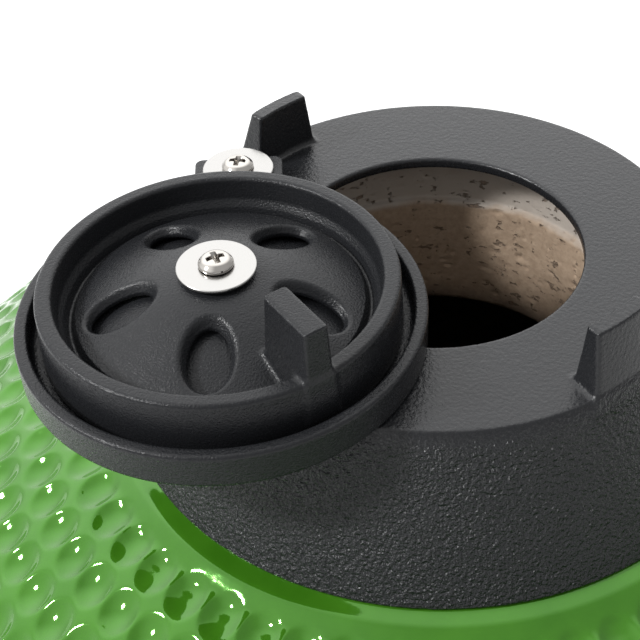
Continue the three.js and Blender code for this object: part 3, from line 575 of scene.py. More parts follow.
COLLAR_PROFILE = rounded(
    [
        (120, 681.4, 0.8),
        (93.2, COLLAR_TOP, 1.1),
        (54, COLLAR_TOP, 1.2),
        (54, 734.2, 0.8),
        (58, 731.5, 1),
        (85.6, 731.5, 3),
        (112, 684.3, 0.4),
    ]
)


def collar_field(x, y, z):
    r = span(x, y)
    d = outline_distance(r, z, COLLAR_PROFILE)
    for angle in LUG_ANGLES:
        a = np.arctan2(y, x) - math.radians(angle)
        a = (a + math.pi) % TAU - math.pi
        side = outline_distance(r, z, [(81.8, 733), (95.4, 733), (87.8, LUG_TOP), (82.2, LUG_TOP)])
        ends = np.abs(a) * 86 - (14.8 - 0.13 * (z - COLLAR_TOP))
        lug = soft_max(soft_max(side, ends, 1.6), z - LUG_TOP, 1.4)
        d = soft_min(d, lug, 2.6)
    hole = span(x - PIVOT[0], y - PIVOT[1]) - 3.3
    return np.maximum(d, -hole)


def lid_field(x, y, z):
    r = span(x, y)
    d = outline_distance(r, z, LID_PROFILE)
    px, py = PIVOT[0] - LID_CENTRE[0], PIVOT[1] - LID_CENTRE[1]
    tab = span(np.maximum(np.abs(x - px) - 13.5, 0), np.maximum(np.abs(y - py + 8.5) - 14.5, 0)) - 3
    ear = plate(tab, z - 6.5, 6.5, 0.9)
    ear = soft_max(ear, 63.8 - r, 0.8)
    d = soft_min(d, ear, 2.6)
    cut = np.maximum(petal_distance(x, y, PETAL_ANGLE + 36, 0), r - 52)
    d = soft_max(d, -cut, 0.8)
    d = np.maximum(d, 3.3 - r)
    return np.maximum(d, 3.3 - span(x - px, y - py))


LID_PROFILE = (
    [(r, crown(r) - 6.4) for r in range(0, 46, 5)]
    + rounded(
        [
            (45, 9.9, 0),
            (53, 4.4, 1.5),
            (64.3, 4.5, 2.5),
            (64.3, 13, 0.9),
            (68.7, 13, 1.3),
            (68.7, 0, 1.2),
            (50, 0, 0.5),
        ]
    )[1:]
    + [(r, crown(r) - 10.5) for r in range(45, -1, -5)]
)

DAISY_PROFILE = (
    [(r, crown(r)) for r in range(0, 49, 4)]
    + rounded(
        [
            (48, 15.2, 0),
            (49.4, 12.0, 1.0),
            (50.6, 12.2, 0.7),
            (51.6, 14.9, 1.4),
            (53.2, 17.5, 3.0),
            (54.2, 25.6, 1.5),
            (59.8, 25.6, 1.5),
            (60.6, 5.5, 1.2),
            (55.3, 5.5, 1.5),
            (47.5, 9.0, 0),
        ]
    )
    + [(r, crown(r) - 5) for r in range(44, -1, -4)]
)


def daisy_field(x, y, z):
    r = span(x, y)
    d = outline_distance(r, z, DAISY_PROFILE)
    depth = crown(r) - z
    cut = petal_distance(x, y, PETAL_ANGLE, np.clip(1.9 - 0.62 * depth, 0, 1.9))
    cut = soft_max(cut, r - 50, 1.5)
    d = soft_max(d, -cut, 1.3)
    u, v = polar(x, y, KNOB_ANGLE)
    fin = outline_distance(u, z, [(34.9, 10), (60.6, 10), (59.2, 44.5), (36.6, 44.5)])
    sides = np.abs(v) - (5.5 - 0.038 * (z - 10))
    knob = soft_max(soft_max(fin, sides, 1.5), z - 44.5, 1.3)
    d = soft_min(d, knob, 2.4)
    return np.maximum(d, 3.3 - r)


def pan_head(x, y, z):
    """Pan head on z = 0 with a cross recess."""
    r = span(x, y)
    head = outline_distance(r, z, HEAD_PROFILE)
    depth = np.clip(3.4 - z, 0, 4)
    wide, long = 0.86 - 0.09 * depth, 3.2 - 0.55 * depth
    u, v = np.abs(x), np.abs(y)
    cross = np.minimum(np.maximum(u - wide, v - long), np.maximum(v - wide, u - long))
    cross = soft_min(cross, span(u, v) - (1.35 - 0.2 * depth), 0.5)
    return soft_max(head, -np.maximum(cross, 0.7 - z), 0.35)


HEAD_PROFILE = [(0, 0.3, 0), (5.9, 0.3, 0.3), (5.9, 1.4, 1.3), (4.4, 2.9, 2.4), (2.1, 3.5, 2), (0, 3.6, 0)]
HEAD_PROFILE = rounded(HEAD_PROFILE + [(-1, 3.6, 0), (-1, 0.3, 0)], 4)


def add_screw(node, x, y, z, spin, body, length):
    shank = lathe(rounded([(0.01, -length, 0), (3, -length, 0.6), (3, 0.6, 0), (0.01, 0.6, 0)]), 32)
    shank = moved(shank, shift(x, y, z))
    place = shift(x, y, z) @ turn(spin, "Z")
    cast(node, pan_head, (-7, -7, 0), (7, 7, 4.6), 0.14, body, SCREW, extra=[shank], place=place)


def washer_shape(x, y, z):
    top = WASHER_THICKNESS
    outline = rounded([(3.3, 0, 0.2), (13.3, 0, 0.4), (13.3, top, 0.5), (3.3, top, 0.3)], 4)
    return moved(lathe(outline, 96), shift(x, y, z))


def add_vent():
    cast("vent_collar", collar_field, (-122, -122, 680), (122, 122, 760), 0.9, "dome", IRON_ROUGH, "collar")
    place = shift(*LID_CENTRE, LID_Z)
    cast("vent_lid", lid_field, (-71, -71, -1), (71, 88, 24), 0.6, "lid", IRON, "lid", place=place)
    cast("daisy_wheel", daisy_field, (-63, -63, 4), (63, 63, 46), 0.5, "daisy", IRON, "daisy", place=place)
    top = LID_Z + CROWN_TOP + 0.3
    piece("daisy_washer", washer_shape(*LID_CENTRE, top), "lid", WASHER, "centre_washer", sharp=50)
    add_screw("daisy_screw", *LID_CENTRE, top + WASHER_THICKNESS, 20, "lid", 22)
    nut = lathe(rounded([(3.05, 0, 0.2), (5.2, 0, 0.4), (5.2, 5, 0.4), (3.05, 5, 0.2)], 3), 6)
    nut = moved(nut, shift(*LID_CENTRE, LID_Z + CROWN_TOP - 16.7))
    piece("daisy_nut", nut, "lid", BRUSHED, "centre_nut", sharp=30)
    ear_top = LID_Z + 13.3
    piece("pivot_washer", washer_shape(*PIVOT, ear_top), "dome", WASHER, sharp=50)
    add_screw("pivot_screw", *PIVOT, ear_top + WASHER_THICKNESS, -12, "dome", 19)


# ---- ceramic


def base_radius(z, outer=BODY_RADIUS):
    """Radius of the base at a height, where the whole bowl is a fat superellipse."""
    k = 2.6
    drop = np.maximum(0, BASE_CURVE_Z - z)
    depth = (BASE_CURVE_Z - FOOT_Z) / (1 - (FOOT_RADIUS / BODY_RADIUS) ** k) ** (1 / k)
    return outer * (1 - (drop / depth) ** k) ** (1 / k)


def dimples(s, r, angle, first, rows, tall=8.7, wide=7.3):
    """Depth of staggered rings of dimples, where s is the distance down the wall."""
    out = np.zeros((len(s), len(angle)))
    ring = np.rint((s - first) / DIMPLE_ROW)
    for step in (-1, 0, 1):
        k = ring + step
        centre = first + k * DIMPLE_ROW
        middle = np.interp(centre, s, r)
        count = np.maximum(np.rint(TAU * middle / DIMPLE_PITCH), 1)
        pitch = TAU / count
        phase = 0.5 * (k % 2) * pitch + k * 0.37
        a = angle[None, :] - phase[:, None]
        a = a - np.rint(a / pitch[:, None]) * pitch[:, None]
        d2 = ((s - centre)[:, None] / tall) ** 2 + (a * r[:, None] / wide) ** 2
        cap = 1 - d2
        hollow = 0.5 * (cap + np.sqrt(cap * cap + 0.012))
        hollow *= ((k >= 0) & (k < rows))[:, None]
        out = np.maximum(out, hollow)
    return out


def arc(points):
    """Distance along a line of points, at each of them."""
    return np.concatenate([[0], np.cumsum(np.linalg.norm(np.diff(points, axis=0), axis=1))])


def spaced(curve, low, high, step):
    """Points of a curve, given as a function of t, about step apart."""
    p = np.array([curve(t) for t in np.linspace(low, high, 4000)])
    s = arc(p)
    at = np.linspace(0, s[-1], max(2, int(round(s[-1] / step)) + 1))
    return np.stack([np.interp(at, s, p[:, 0]), np.interp(at, s, p[:, 1])], 1)


def dimple_relief(profile, angles, outside, first, rings, depth):
    """Relief of a turned wall, which is dimpled over a slice of its outline that runs downwards."""
    out = np.zeros((len(profile), len(angles)))
    wall = profile[outside]
    out[outside] = -depth * dimples(arc(wall), wall[:, 0], angles, first, rings)
    return out


def bore_pits(profile, angles, out):
    """Small random pits and waves in the neck's bore."""
    rng = np.random.default_rng(11)
    bore = np.nonzero((profile[:, 0] < 74) & (profile[:, 1] < 726) & (profile[:, 1] > 649))[0]
    z = profile[bore, 1]
    for _ in range(520):
        a0, z0 = rng.uniform(0, TAU), rng.uniform(652, 724)
        wide, tall, deep = rng.uniform(0.6, 2.6), rng.uniform(0.4, 1.1), rng.uniform(0.2, 0.8)
        near = np.nonzero(np.abs(z - z0) < 2 * tall)[0]
        cols = np.nonzero(np.abs((angles - a0 + math.pi) % TAU - math.pi) * 70 < 2 * wide)[0]
        if len(near) == 0 or len(cols) == 0:
            continue
        da = ((angles[cols] - a0 + math.pi) % TAU - math.pi) * 70 / wide
        dz = (z[near] - z0) / tall
        out[np.ix_(bore[near], cols)] -= deep * np.exp(-(da[None, :] ** 2 + dz[:, None] ** 2))


def add_dome():
    wall = spaced(
        lambda r: (r, DOME_Z + DOME_HEIGHT * math.sqrt(1 - (r / BODY_RADIUS) ** 2)), 98, 319.9, 1.25
    )
    outline = [(84, 727), (86, 712), (88, 704.5)] + [tuple(p) for p in wall]
    outline += [(BODY_RADIUS, z) for z in np.arange(432, 402.5, -1.5)]
    outline += rounded([(320, 415, 0), (320, 399, 2.5), (294, 399, 2.5), (294, 415, 0)])[1:-1]
    outline += [(294, 425)]
    inner = spaced(
        lambda r: (r, DOME_Z + INNER_HEIGHT * math.sqrt(1 - (r / INNER_RADIUS) ** 2)), 96, 293.9, 6
    )
    outline += [tuple(p) for p in inner[::-1]]
    outline += rounded([(96, 653.6, 0), (76, 650, 3), (70, 653, 4), (70, 706, 0)], 4)[1:-1]
    outline += [(70, z) for z in np.arange(658, 705, 0.8)]
    outline += [(70.4, 705.6), (71, 706), (72, 706.2), (72.5, 706.8)]
    outline += [(72.5, z) for z in np.arange(707.6, 726.4, 0.8)] + [(73, 727)]
    outside = slice(3, 3 + len(wall))

    def relief(profile, angles):
        first = float(np.interp(138, wall[:, 0], arc(wall)))
        out = dimple_relief(profile, angles, outside, first, 19, 2.3)
        bore_pits(profile, angles, out)
        shoulder = np.interp(profile[outside, 0], [120, 124.6, 131, 133, 138], [0, -0.5, 0.9, 0.9, 0])
        out[outside] -= shoulder[:, None]
        return out

    shape = lathe(outline, CERAMIC_COLUMNS, relief=relief)
    r, z = seam(shape[0], len(outline))
    under = DOME_Z + 232 * np.sqrt(np.clip(1 - (r / 300) ** 2, 0, 1))
    inside = (r < 296) & ((z < under) | (r < 83.5))
    index = np.repeat(inside.astype(int), CERAMIC_COLUMNS)
    # The inside takes the bore material, whose painted shade darkens it below the neck.
    piece("dome_shell", shape, "dome", (*GREEN, BORE), "dome_ceramic", sharp=50, index=index)


def seam(points, rows):
    """Radius and height of the first point of each row of a turned wall."""
    first = points.reshape(rows, CERAMIC_COLUMNS, 3)[:, 0]
    return span(first[:, 0], first[:, 1]), first[:, 2]


def add_base():
    wall = spaced(lambda z: (float(base_radius(z)), z), FOOT_Z, BASE_CURVE_Z, 1.5)[::-1]
    straight = [(BODY_RADIUS, z) for z in np.arange(388, 346, -3.0)]
    outline = straight + [tuple(p) for p in wall]
    outline += rounded([(216, 14, 0), (214.5, 0, 4), (0.01, 0, 0)], 4)[1:-1] + [(0.01, 0), (0.01, 36)]
    outline += [(float(base_radius(z, INNER_RADIUS)), z) for z in np.linspace(36, BASE_CURVE_Z, 40)]
    outline += rounded([(294, 370, 0), (294, 391, 2.5), (320, 391, 2.5), (320, 380, 0)])[1:-1]
    outside = slice(len(straight), len(straight) + len(wall))

    def relief(profile, angles):
        """Dimples, but none behind the draft frame."""
        from_front = np.abs((angles + math.pi / 2 + math.pi) % TAU - math.pi)
        near_draft = np.clip((math.radians(38) - from_front) / 0.03, 0, 1)[None, :]
        low = np.clip((136 - profile[:, 1]) / 4, 0, 1)[:, None]
        return dimple_relief(profile, angles, outside, 14, 19, 2.2) * (1 - near_draft * low)

    points, faces = lathe(outline, CERAMIC_COLUMNS, relief=relief)
    quads = faces[0]
    centre = points[quads].mean(1)
    angle = np.degrees(np.arctan2(centre[:, 1], centre[:, 0]))
    start, end, low, high = DRAFT_HOLE
    hole = (angle > start) & (angle < end) & (centre[:, 2] > low) & (centre[:, 2] < high)
    hole &= span(centre[:, 0], centre[:, 1]) > 150
    r, z = seam(points, len(outline))
    inside = (r < base_radius(z) - 12) & (z > 30)
    reveal = draft_reveal(*DRAFT_HOLE)
    index = np.repeat(inside.astype(int), CERAMIC_COLUMNS)[~hole]
    index = np.concatenate([index, np.ones(len(reveal[1][0]), int)])
    shape = merge((points, [quads[~hole]]), reveal)
    piece("base_shell", shape, "base", (*GREEN, CLAY[1]), "base_ceramic", sharp=50, index=index)


def draft_reveal(a0, a1, z0, z1):
    """The four faces inside the draft opening's cut through the wall."""
    loop = [(a, z0) for a in np.linspace(a0, a1, 24)] + [(a1, z) for z in np.linspace(z0, z1, 16)[1:]]
    loop += [(a, z1) for a in np.linspace(a1, a0, 24)[1:]]
    loop += [(a0, z) for z in np.linspace(z1, z0, 16)[1:-1]]
    points = []
    for wall, past in ((BODY_RADIUS, 0.8), (INNER_RADIUS, -0.8)):
        for a, z in loop:
            r = float(base_radius(z, wall)) + past
            points.append((r * math.cos(math.radians(a)), r * math.sin(math.radians(a)), z))
    return np.array(points), [grid(2, len(loop), False, True)]


def add_gaskets():
    for node, low, body in (("base_gasket", 391.3, "base"), ("dome_gasket", 395.15, "dome")):
        high = low + 3.55
        outline = rounded([(297, low, 1.2), (317, low, 1.2), (317, high, 1.2), (297, high, 1.2)], 4)
        piece(node, lathe(outline, 360), body, FELT, node + "_felt", sharp=60)
    outline = rounded([(74.5, 727.3, 1), (83, 727.3, 1), (83, 731.2, 1), (74.5, 731.2, 1)], 4)
    piece("neck_gasket", lathe(outline, 180), "dome", FELT, "neck_felt", sharp=60)


# ---- fire parts


SKIRT_PROFILE = rounded([(180, 36.3, 2), (202, 36.3, 3), (228, 131.7, 3), (202, 131.7, 3)])


def skirt_field(x, y, z):
    r = span(x, y)
    wall = outline_distance(r, z, SKIRT_PROFILE)
    a = np.degrees(np.arctan2(y, x))
    notch = np.maximum((np.abs(a + 105) - 15) * 3.6, np.abs(z - 84) - 32)
    return soft_max(wall, -notch, 3)


def fire_grate_field(x, y, z):
    disc = plate(span(x, y) - 128, z - 161.3, 5, 1.6)
    row = np.clip(np.rint(y / 28), -3, 3)
    reach = np.sqrt(np.maximum(104**2 - (row * 28) ** 2, 1))
    u = np.abs(np.abs(x) - (5 + reach) / 2) - (reach - 5) / 2 + 5.9
    v = np.abs(y - row * 28)
    slot_distance = span(np.maximum(u, 0), v) - 6
    return soft_max(disc, -slot_distance, 2)


def add_fire_parts():
    cast("ash_skirt", skirt_field, (-230, -230, 34), (230, 230, 134), 2.4, "base", CLAY)
    bowl = [
        (112, 136, 3),
        (232, 132, 4),
        (268, 330, 4),
        (246, 330, 4),
        (216, 164, 14),
        (198, 156, 4),
        (112, 156, 4),
    ]
    piece("firebox", lathe(rounded(bowl, 6), 240), "base", CLAY, sharp=50)
    ring = [(268, 330.3, 3), (276, 384, 4), (238, 384, 3), (238, 370, 3), (247, 362, 3), (247, 330.3, 3)]
    piece("fire_ring", lathe(rounded(ring), 240), "base", CLAY, sharp=50)
    cast("fire_grate", fire_grate_field, (-130, -130, 155), (130, 130, 168), 1.5, "base", IRON)
    z, radius = 388.3, 262
    angles = np.linspace(0, TAU, 181)[:-1]
    rim = np.stack([radius * np.cos(angles), radius * np.sin(angles), np.full(180, z)], 1)
    bars = [tube(rim, 4, 14, closed=True)]
    for row in range(-16, 17):
        y = row * 46 / 3
        reach = math.sqrt(radius**2 - y * y)
        bars.append(tube([(-reach, y, z), (0, y, z), (reach, y, z)], 2.6, 10))
    for x in (-90, 90):
        reach = math.sqrt(radius**2 - x * x)
        bars.append(tube([(x, -reach, z - 1), (x, 0, z - 1), (x, reach, z - 1)], 3.4, 10))
    piece("cooking_grate", merge(*bars), "grate", POLISHED, sharp=40)


# ---- thermometer


def add_thermometer():
    rise = THERMOMETER_Z - DOME_Z
    radius = BODY_RADIUS * math.sqrt(1 - (rise / DOME_HEIGHT) ** 2)
    lean = math.degrees(math.atan2(rise / DOME_HEIGHT**2, radius / BODY_RADIUS**2))
    place = shift(0, -radius, THERMOMETER_Z) @ turn(90 - lean, "X")

    def put(node, shape, finish, name=None, body="dome"):
        piece(node, moved(shape, place), body, finish, name, sharp=40)

    case = [(4, 1.5, 0.3), (33, 1.5, 1), (38, 5, 2.5), (38, 18, 1.5), (36.5, 19.5, 1), (33, 19.5, 0.5)]
    case += [(33, 17.3, 0), (36, 17.3, 0), (36, 4, 1), (4, 4, 0)]
    put("thermometer_case", lathe(rounded(case, 4), 160), POLISHED)
    dial = [(2, 7, 0), (35.5, 7, 0.2), (35.5, 8, 0.2), (2, 8, 0)]
    put("thermometer_dial", lathe(rounded(dial, 3), 120), WHITE)
    ticks = [lathe([(33.5, 8.0), (34.1, 8.0), (34.1, 8.1), (33.5, 8.1)], 120)]
    for i in range(41):
        long, half = (3, 0.35) if i % 5 else (5.5, 0.6)
        tick = prism([(-half, 33.2 - long), (half, 33.2 - long), (half, 33.2), (-half, 33.2)], 8, 8.12)
        ticks.append(moved(tick, turn(135 - 6.75 * i, "Z")))
    put(None, merge(*ticks), INK, "thermometer_scale")
    lens = [(0.01, 15), (35.6, 15), (35.6, 16.4), (24, 16.9), (12, 17), (0.01, 17)]
    put("thermometer_lens", lathe(lens, 96), GLASS)
    stem = [(0.01, -72, 0), (1.5, -70, 0.8), (3.4, -66, 1), (3.4, 4.5, 0.3), (1.6, 4.5, 0), (1.6, 9.5, 0.2)]
    stem += [(0.01, 9.5, 0)]
    put("thermometer_stem", lathe(rounded(stem, 3), 40), POLISHED)
    add_hexagon("thermometer_nut", 18, 3.7, 6, "dome", BRUSHED, place @ shift(0, 0, -39.5))
    blade = prism([(-1.6, -8), (1.6, -8), (0.5, 27), (-0.5, 27)], 10.0, 10.9)
    hub = lathe(rounded([(0.01, 9.8, 0), (3.2, 9.8, 0.3), (3.2, 12.2, 0.9), (0.01, 12.2, 0)], 4), 48)
    put("thermometer_needle", merge(moved(blade, turn(135, "Z")), hub), RED, body="needle")


# ---- bolts


def hexagon(x, y, across):
    return np.maximum(np.abs(x) * math.cos(math.radians(30)) + np.abs(y) * 0.5, np.abs(y)) - across / 2


def add_hexagon(node, across, bore, height, body, finish, place, shank=0.0, length=0.0):
    """A chamfered hexagon from z = 0 to height, with a bore, or with a threaded shank below it."""

    def field(x, y, z):
        top = span(x, y) - across * 0.565 + (z - height) * 1.7
        if bore:
            top = np.maximum(top, span(x, y) - across * 0.565 - z * 1.7)
        d = soft_max(hexagon(x, y, across), top * 0.5, 0.3)
        d = soft_max(d, np.abs(z - height / 2) - height / 2, 0.3)
        if bore:
            d = soft_max(d, bore - span(x, y), 0.5)
        return d

    reach = across * 0.6
    extra = []
    if shank:
        turns = np.arange(-length, 0.2, 0.35)
        wave = [(shank - 0.35 * (i % 2) * (z < -length * 0.45), z) for i, z in enumerate(turns)]
        extra = [moved(lathe([(0.01, -length)] + wave + [(0.01, 0.2)], 28), place)]
    low, high = (-reach, -reach, -0.6), (reach, reach, height + 0.6)
    cast(node, field, low, high, across / 44, body, finish, extra=extra, place=place)


BUTTON_PROFILE = rounded(
    [(0, 0.3, 0), (8, 0.3, 0.6), (7.6, 2.2, 3), (4.2, 4.9, 3), (0, 5, 0), (-1, 5, 0), (-1, 0.3, 0)], 5
)


def button_field(x, y, z):
    """Button head with a hexagon socket, on z = 0."""
    head = outline_distance(span(x, y), z, BUTTON_PROFILE)
    return soft_max(head, -np.maximum(hexagon(x, y, 5), 2.2 - z), 0.3)


def add_button(node, angle, z, face, body):
    place = turn(angle, "Z") @ shift(face, 0, z) @ turn(90, "Y")
    length = face - BODY_RADIUS - 0.6
    shank = moved(lathe([(0.01, -length), (4, -length), (4, 0.6), (0.01, 0.6)], 32), place)
    low, high = (-8.6, -8.6, -0.2), (8.6, 8.6, 5.6)
    cast(node, button_field, low, high, 0.32, body, POLISHED, extra=[shank], place=place)


# ---- bands


def ear_field(low, inner):
    y0, y1 = -BAND_OUTER - 0.3 - 24, -BAND_OUTER - 0.3
    high = low + BAND_HEIGHT
    cut = [(y0, low + 5), (y0 + 5, low), (y1, low), (y1, high), (y0 + 5, high), (y0, high - 5)]

    def field(x, y, z):
        d = box(x, y, z, (inner, y0, low), (inner + 5, y1, high), 1.1)
        d = soft_max(d, outline_distance(y, z, cut), 2.0)
        return soft_max(d, 4.3 - span(y + BAND_OUTER + 13, z - low - 18), 0.5)

    return field


def add_bands():
    gap = math.degrees(math.asin(3 / 321.5))
    for name, low, body in (("lower_band", 352, "base"), ("upper_band", 402, "dome")):
        high = low + BAND_HEIGHT
        outline = rounded([(320.3, low, 0.9), (322.8, low, 0.9), (322.8, high, 0.9), (320.3, high, 0.9)], 4)
        piece(name, lathe(outline, 720, -90 + gap, 270 - gap), body, BLACK, sharp=50)
        for side, inner in (("left", -8), ("right", 3)):
            a, b = (inner - 1, -BAND_OUTER - 26, low - 1), (inner + 6, -BAND_OUTER + 1, high + 1)
            cast(f"{name}_ear_{side}", ear_field(low, inner), a, b, 0.6, body, BLACK)
        y, z = -BAND_OUTER - 13, low + 18
        place = shift(8.3, y, z) @ turn(90, "Y")
        add_hexagon(name + "_bolt", 13, 0, 5.3, body, POLISHED, place, 4, 28.4)
        place = shift(-14.8, y, z) @ turn(90, "Y")
        add_hexagon(name + "_nut", 13, 4.05, 6.5, body, POLISHED, place)


# ---- hinge


def hinge_field(band_low, arm_x, low, high):
    arm = [(323, low), (366, 382), (368, 382), (368, 410), (323, high)]

    def field(x, y, z):
        r = span(x, y)
        pad = box(x, y, z, (-60, 300, band_low + 2), (60, 330.8, band_low + 34), 2.5)
        side = np.minimum(outline_distance(y, z, arm), span(y - PIN[0], z - PIN[1]) - 14)
        arms = plate(side, np.abs(x) - arm_x, 4, 1.2)
        d = soft_min(pad, arms, 4)
        d = soft_max(d, 323.1 - r, 0.5)
        return soft_max(d, 6.3 - span(y - PIN[0], z - PIN[1]), 0.6)

    return field


def coil(x0, x1):
    t = np.linspace(0, 1, 241)
    a = TAU * 5 * t
    return tube(
        np.stack([x0 + (x1 - x0) * t, PIN[0] + 9.6 * np.cos(a), PIN[1] + 9.6 * np.sin(a)], 1), 1.5, 12
    )


def add_hinge():
    low = hinge_field(352, 52, 356, 386)
    high = hinge_field(402, 39, 405, 434)
    cast("hinge_base_bracket", low, (-62, 316, 350), (62, 384, 412), 1.0, "base", BLACK, "hinge_base_look")
    cast("hinge_dome_bracket", high, (-62, 316, 380), (62, 384, 440), 1.0, "dome", BLACK, "hinge_dome_look")
    place = shift(0, *PIN) @ turn(90, "Y")
    pin = rounded([(0.01, -64, 0), (6, -64, 1), (6, 56.3, 0), (9, 56.3, 0.8), (9, 60, 1.2), (0.01, 60, 0)], 4)
    piece("hinge_pin", moved(lathe(pin, 64), place), "base", POLISHED, sharp=45)
    clip = lathe(
        rounded([(6.2, -59, 0.4), (10, -59, 0.8), (10, -56.5, 0.8), (6.2, -56.5, 0.4)], 4), 64, 20, 340
    )
    piece("hinge_pin_clip", moved(clip, place), "base", POLISHED, "hinge_clip_look", sharp=45)
    piece("hinge_spring_left", coil(-32, -3), "base", SPRING, sharp=60)
    piece("hinge_spring_right", coil(3, 32), "base", SPRING, sharp=60)
    face = 330.8 / math.cos(math.radians(4)) + 0.6
    for name, z, body in (("lower", 370, "base"), ("upper", 420, "dome")):
        for i, angle in enumerate((86, 94)):
            add_button(f"hinge_{name}_bolt_{i + 1}", angle, z, face, body)


# ---- handle


def handle_field(side):
    def field(x, y, z):
        r = span(x, y)
        a = np.degrees(np.arctan2(y, x)) + 90 - side * 16
        foot = np.maximum(np.abs(a) * 5.66 - 21, np.abs(z - 420) - 15)
        foot = plate(foot, r - 325.9, 2.9, 1.2)
        outline = [(-300, 405), (-300, 435), (-370, 441), (-378, 442), (-378, 398), (-370, 399)]
        arm = np.minimum(outline_distance(y, z, outline), span(y - HANDLE[0], z - HANDLE[1]) - 22)
        arm = plate(arm, x - side * 89, 5, 1.4)
        d = soft_min(foot, arm, 4)
        d = soft_max(d, 323.1 - r, 0.5)
        d = soft_max(d, 16.3 - span(y - HANDLE[0], z - HANDLE[1]), 0.8)
        b = math.radians(-90 + side * 18.4)
        across = x * math.sin(b) - y * math.cos(b)
        recess = np.maximum(span(across, z - 420) - 9, 329.0 - r)
        return soft_max(d, -recess, 0.6)

    return field


def add_handle():
    length = 125
    swell = [(16 + 0.7 * math.cos(math.pi * z / 170) if abs(z) < 82 else 16, z) for z in range(-118, 119, 4)]
    end = [(0.01, length), (9, length), (12.5, 124.4), (14.6, 123), (15.7, 121)]
    bar = lathe([(r, -z) for r, z in end] + swell + end[::-1], 96)
    piece("handle_bar", moved(bar, shift(0, *HANDLE) @ turn(90, "Y")), "dome", WOOD, sharp=60)
    for name, side in (("left", -1), ("right", 1)):
        x0, x1 = sorted((side * 64, side * 118))
        low, high = (x0, -404, 396), (x1, -298, 446)
        cast("handle_bracket_" + name, handle_field(side), low, high, 0.9, "dome", BLACK)
        add_button("handle_bolt_" + name, -90 + side * 18.4, 420, BAND_OUTER + 6.4, "dome")


# ---- draft door


def cone_radius(z, offset):
    """Radius of the cone that the door slides on, moved out by an offset."""
    return float(base_radius(DRAFT_Z)) + (z - DRAFT_Z) * DRAFT_SLOPE + offset


def strip(low, high, inner, outer, start, end, bevel=0.5):
    """A curved strip on the door's cone."""
    corners = [(low, inner), (low, outer), (high, outer), (high, inner)]
    outline = rounded([(cone_radius(z, offset), z, bevel) for z, offset in corners], 3)
    return lathe(outline, max(4, int(abs(end - start) * 2)), start, end)


def backed_strip(low, high, start, end):
    """A strip of the frame, whose back follows the ceramic."""
    outline = [(cone_radius(low, 3), low), (cone_radius(high, 3), high)]
    for z in np.linspace(high, low, 12):
        back = max(float(base_radius(z)) + 0.8, cone_radius(z, -8))
        outline.append((min(back, cone_radius(z, 2.4)), z))
    return lathe(outline, max(4, int(abs(end - start) * 2)), start, end)


def on_cone(angle, z, offset):
    lean = math.degrees(math.atan(DRAFT_SLOPE))
    return turn(angle, "Z") @ shift(cone_radius(z, offset), 0, z) @ turn(90 + lean, "Y")


def slotted_field(x, y, z):
    """Small domed head with a slot, on z = 0."""
    outline = [(0, 0), (4.5, 0), (4.1, 1.7), (2.2, 2.6), (0, 2.8), (-1, 2.8), (-1, 0)]
    head = outline_distance(span(x, y), z, outline)
    return soft_max(head, -np.maximum(np.abs(x) - 0.55, 1.4 - z), 0.2)


def add_draft():
    low, high = 47, 129
    start, end = -124, -56
    hole_start, hole_end, hole_low, hole_high = DRAFT_HOLE
    parts = [
        backed_strip(low, hole_low, start, end),
        backed_strip(hole_high, high, start, end),
        backed_strip(hole_low - 0.5, hole_high + 0.5, start, hole_start),
        backed_strip(hole_low - 0.5, hole_high + 0.5, hole_end, end),
        strip(low, low + 5, 2, 9, start, end),
        strip(low + 4, low + 9, 7.2, 9, start, end),
        strip(high - 5, high, 2, 9, start, end),
        strip(high - 9, high - 4, 7.2, 9, start, end),
    ]
    piece("draft_frame", merge(*parts), "base", BRUSHED, sharp=35)
    first, last = hole_start - 0.6, hole_end + 0.6
    bars = [strip(57, 67, 3.3, 4.1, first, last, 0.2), strip(109, 119, 3.3, 4.1, first, last, 0.2)]
    edges = [first] + [hole_start + 3 + i * 5 + s * 1.4 for i in range(5) for s in (-1, 1)] + [last]
    bars += [strip(66.9, 109.1, 3.3, 4.1, edges[i], edges[i + 1], 0.2) for i in range(0, len(edges), 2)]
    piece("draft_screen", merge(*bars), "base", BRUSHED, sharp=35)
    piece("draft_door", strip(52.5, 123.5, 4.5, 6.5, -119, -91, 0.7), "door", BRUSHED, sharp=35)
    knob = [
        (0.01, -1.4, 0),
        (2, -1.4, 0.2),
        (2, 1.5, 0),
        (5, 1.5, 1),
        (5, 5, 2),
        (8, 9, 2),
        (8, 13, 2),
        (6, 15, 2),
    ]
    knob = lathe(rounded(knob + [(0.01, 15, 0)], 5), 64)
    knob = moved(knob, on_cone(-105, DRAFT_Z, 6.5))
    piece("draft_door_knob", knob, "door", POLISHED, "draft_knob_look", sharp=50)
    places = [(side, rise) for side in (-1, 1) for rise in (-1, 1)]
    for number, (side, rise) in enumerate(places, 1):
        place = on_cone(-90 + side * 32, DRAFT_Z + rise * 22, 3.5) @ turn(30 * number, "Z")
        node = f"draft_frame_screw_{number}"
        cast(node, slotted_field, (-5, -5, -0.4), (5, 5, 3.2), 0.2, "base", POLISHED, place=place)


add_vent()
add_dome()
add_base()
add_gaskets()
add_fire_parts()
add_thermometer()
add_bands()
add_hinge()
add_handle()
add_draft()

# ---- stage


def add_floor():
    mesh = bpy.data.meshes.new("floor")
    mesh.from_pydata([(-45, -45, 0), (45, -45, 0), (45, 45, 0), (-45, 45, 0)], [], [(0, 1, 2, 3)])
    material, shader = new_material("floor", (0.84, 0.84, 0.84), 0.8, specular=0.1)
    shader.inputs["Emission Color"].default_value = (1, 1, 1, 1)
    shader.inputs["Emission Strength"].default_value = 0.05
    mesh.materials.append(material)
    floor = bpy.data.objects.new("floor", mesh)
    bpy.context.scene.collection.objects.link(floor)


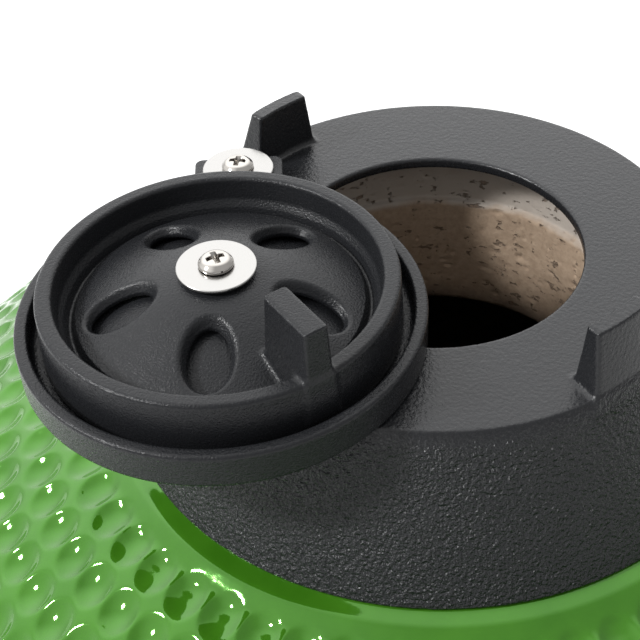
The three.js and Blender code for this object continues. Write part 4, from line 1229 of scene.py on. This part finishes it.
def add_world():
    """A white studio that is brighter overhead, behind and to the left."""
    world = bpy.data.worlds.new("world")
    world.use_nodes = True
    bpy.context.scene.world = world
    where = add_node(world, "TexCoord", {}).outputs["Generated"]
    strength = None
    for direction, low, high, dark, bright in (
        ((0, 0, 1), -0.2, 0.9, 0.52, 0.75),
        ((-0.05, 0.75, 0.66), 0.45, 0.97, 0, 1.9),
        ((-0.86, -0.15, 0.49), 0.5, 0.95, 0, 0.9),
    ):
        toward = vector_math(world, "DOT_PRODUCT", {0: where, 1: direction})
        glow = remap(world, toward, low, high, dark, bright, "SMOOTHSTEP")
        strength = glow if strength is None else math_node(world, "ADD", strength, glow)
    background = world.node_tree.nodes["Background"]
    background.inputs["Color"].default_value = (1, 1, 1, 1)
    connect(world, strength, background.inputs["Strength"])


def add_lamp(name, location, target, size, power):
    data = bpy.data.lights.new(name, "AREA")
    data.size = size
    data.energy = power
    obj = bpy.data.objects.new(name, data)
    obj.location = location
    aim = Vector(target) - Vector(location)
    obj.rotation_mode = "QUATERNION"
    obj.rotation_quaternion = aim.to_track_quat("-Z", "Y")
    bpy.context.scene.collection.objects.link(obj)


def add_camera():
    camera = bpy.data.objects.new("camera", bpy.data.cameras.new("camera"))
    camera.data.sensor_width = 36
    camera.data.lens = 74.3
    camera.data.clip_start = 0.01
    location = Vector((-0.0427, -0.3745, 1.0375))
    back = (location - Vector((-0.0427, -0.0343, 0.7354))).normalized()
    side = Vector((0, 0, 1)).cross(back).normalized()
    up = back.cross(side)
    roll = -0.059
    x_axis = side * math.cos(roll) + up * math.sin(roll)
    y_axis = up * math.cos(roll) - side * math.sin(roll)
    rows = Matrix((x_axis, y_axis, back)).transposed()
    camera.matrix_world = Matrix.LocRotScale(location, rows.to_quaternion(), None)
    bpy.context.scene.collection.objects.link(camera)
    bpy.context.scene.camera = camera
    bpy.context.scene.view_settings.view_transform = "Standard"


add_floor()
add_world()
add_lamp("key", (-1.45, -0.42, 1.95), (-0.04, -0.03, 0.72), 0.26, 42)
add_camera()
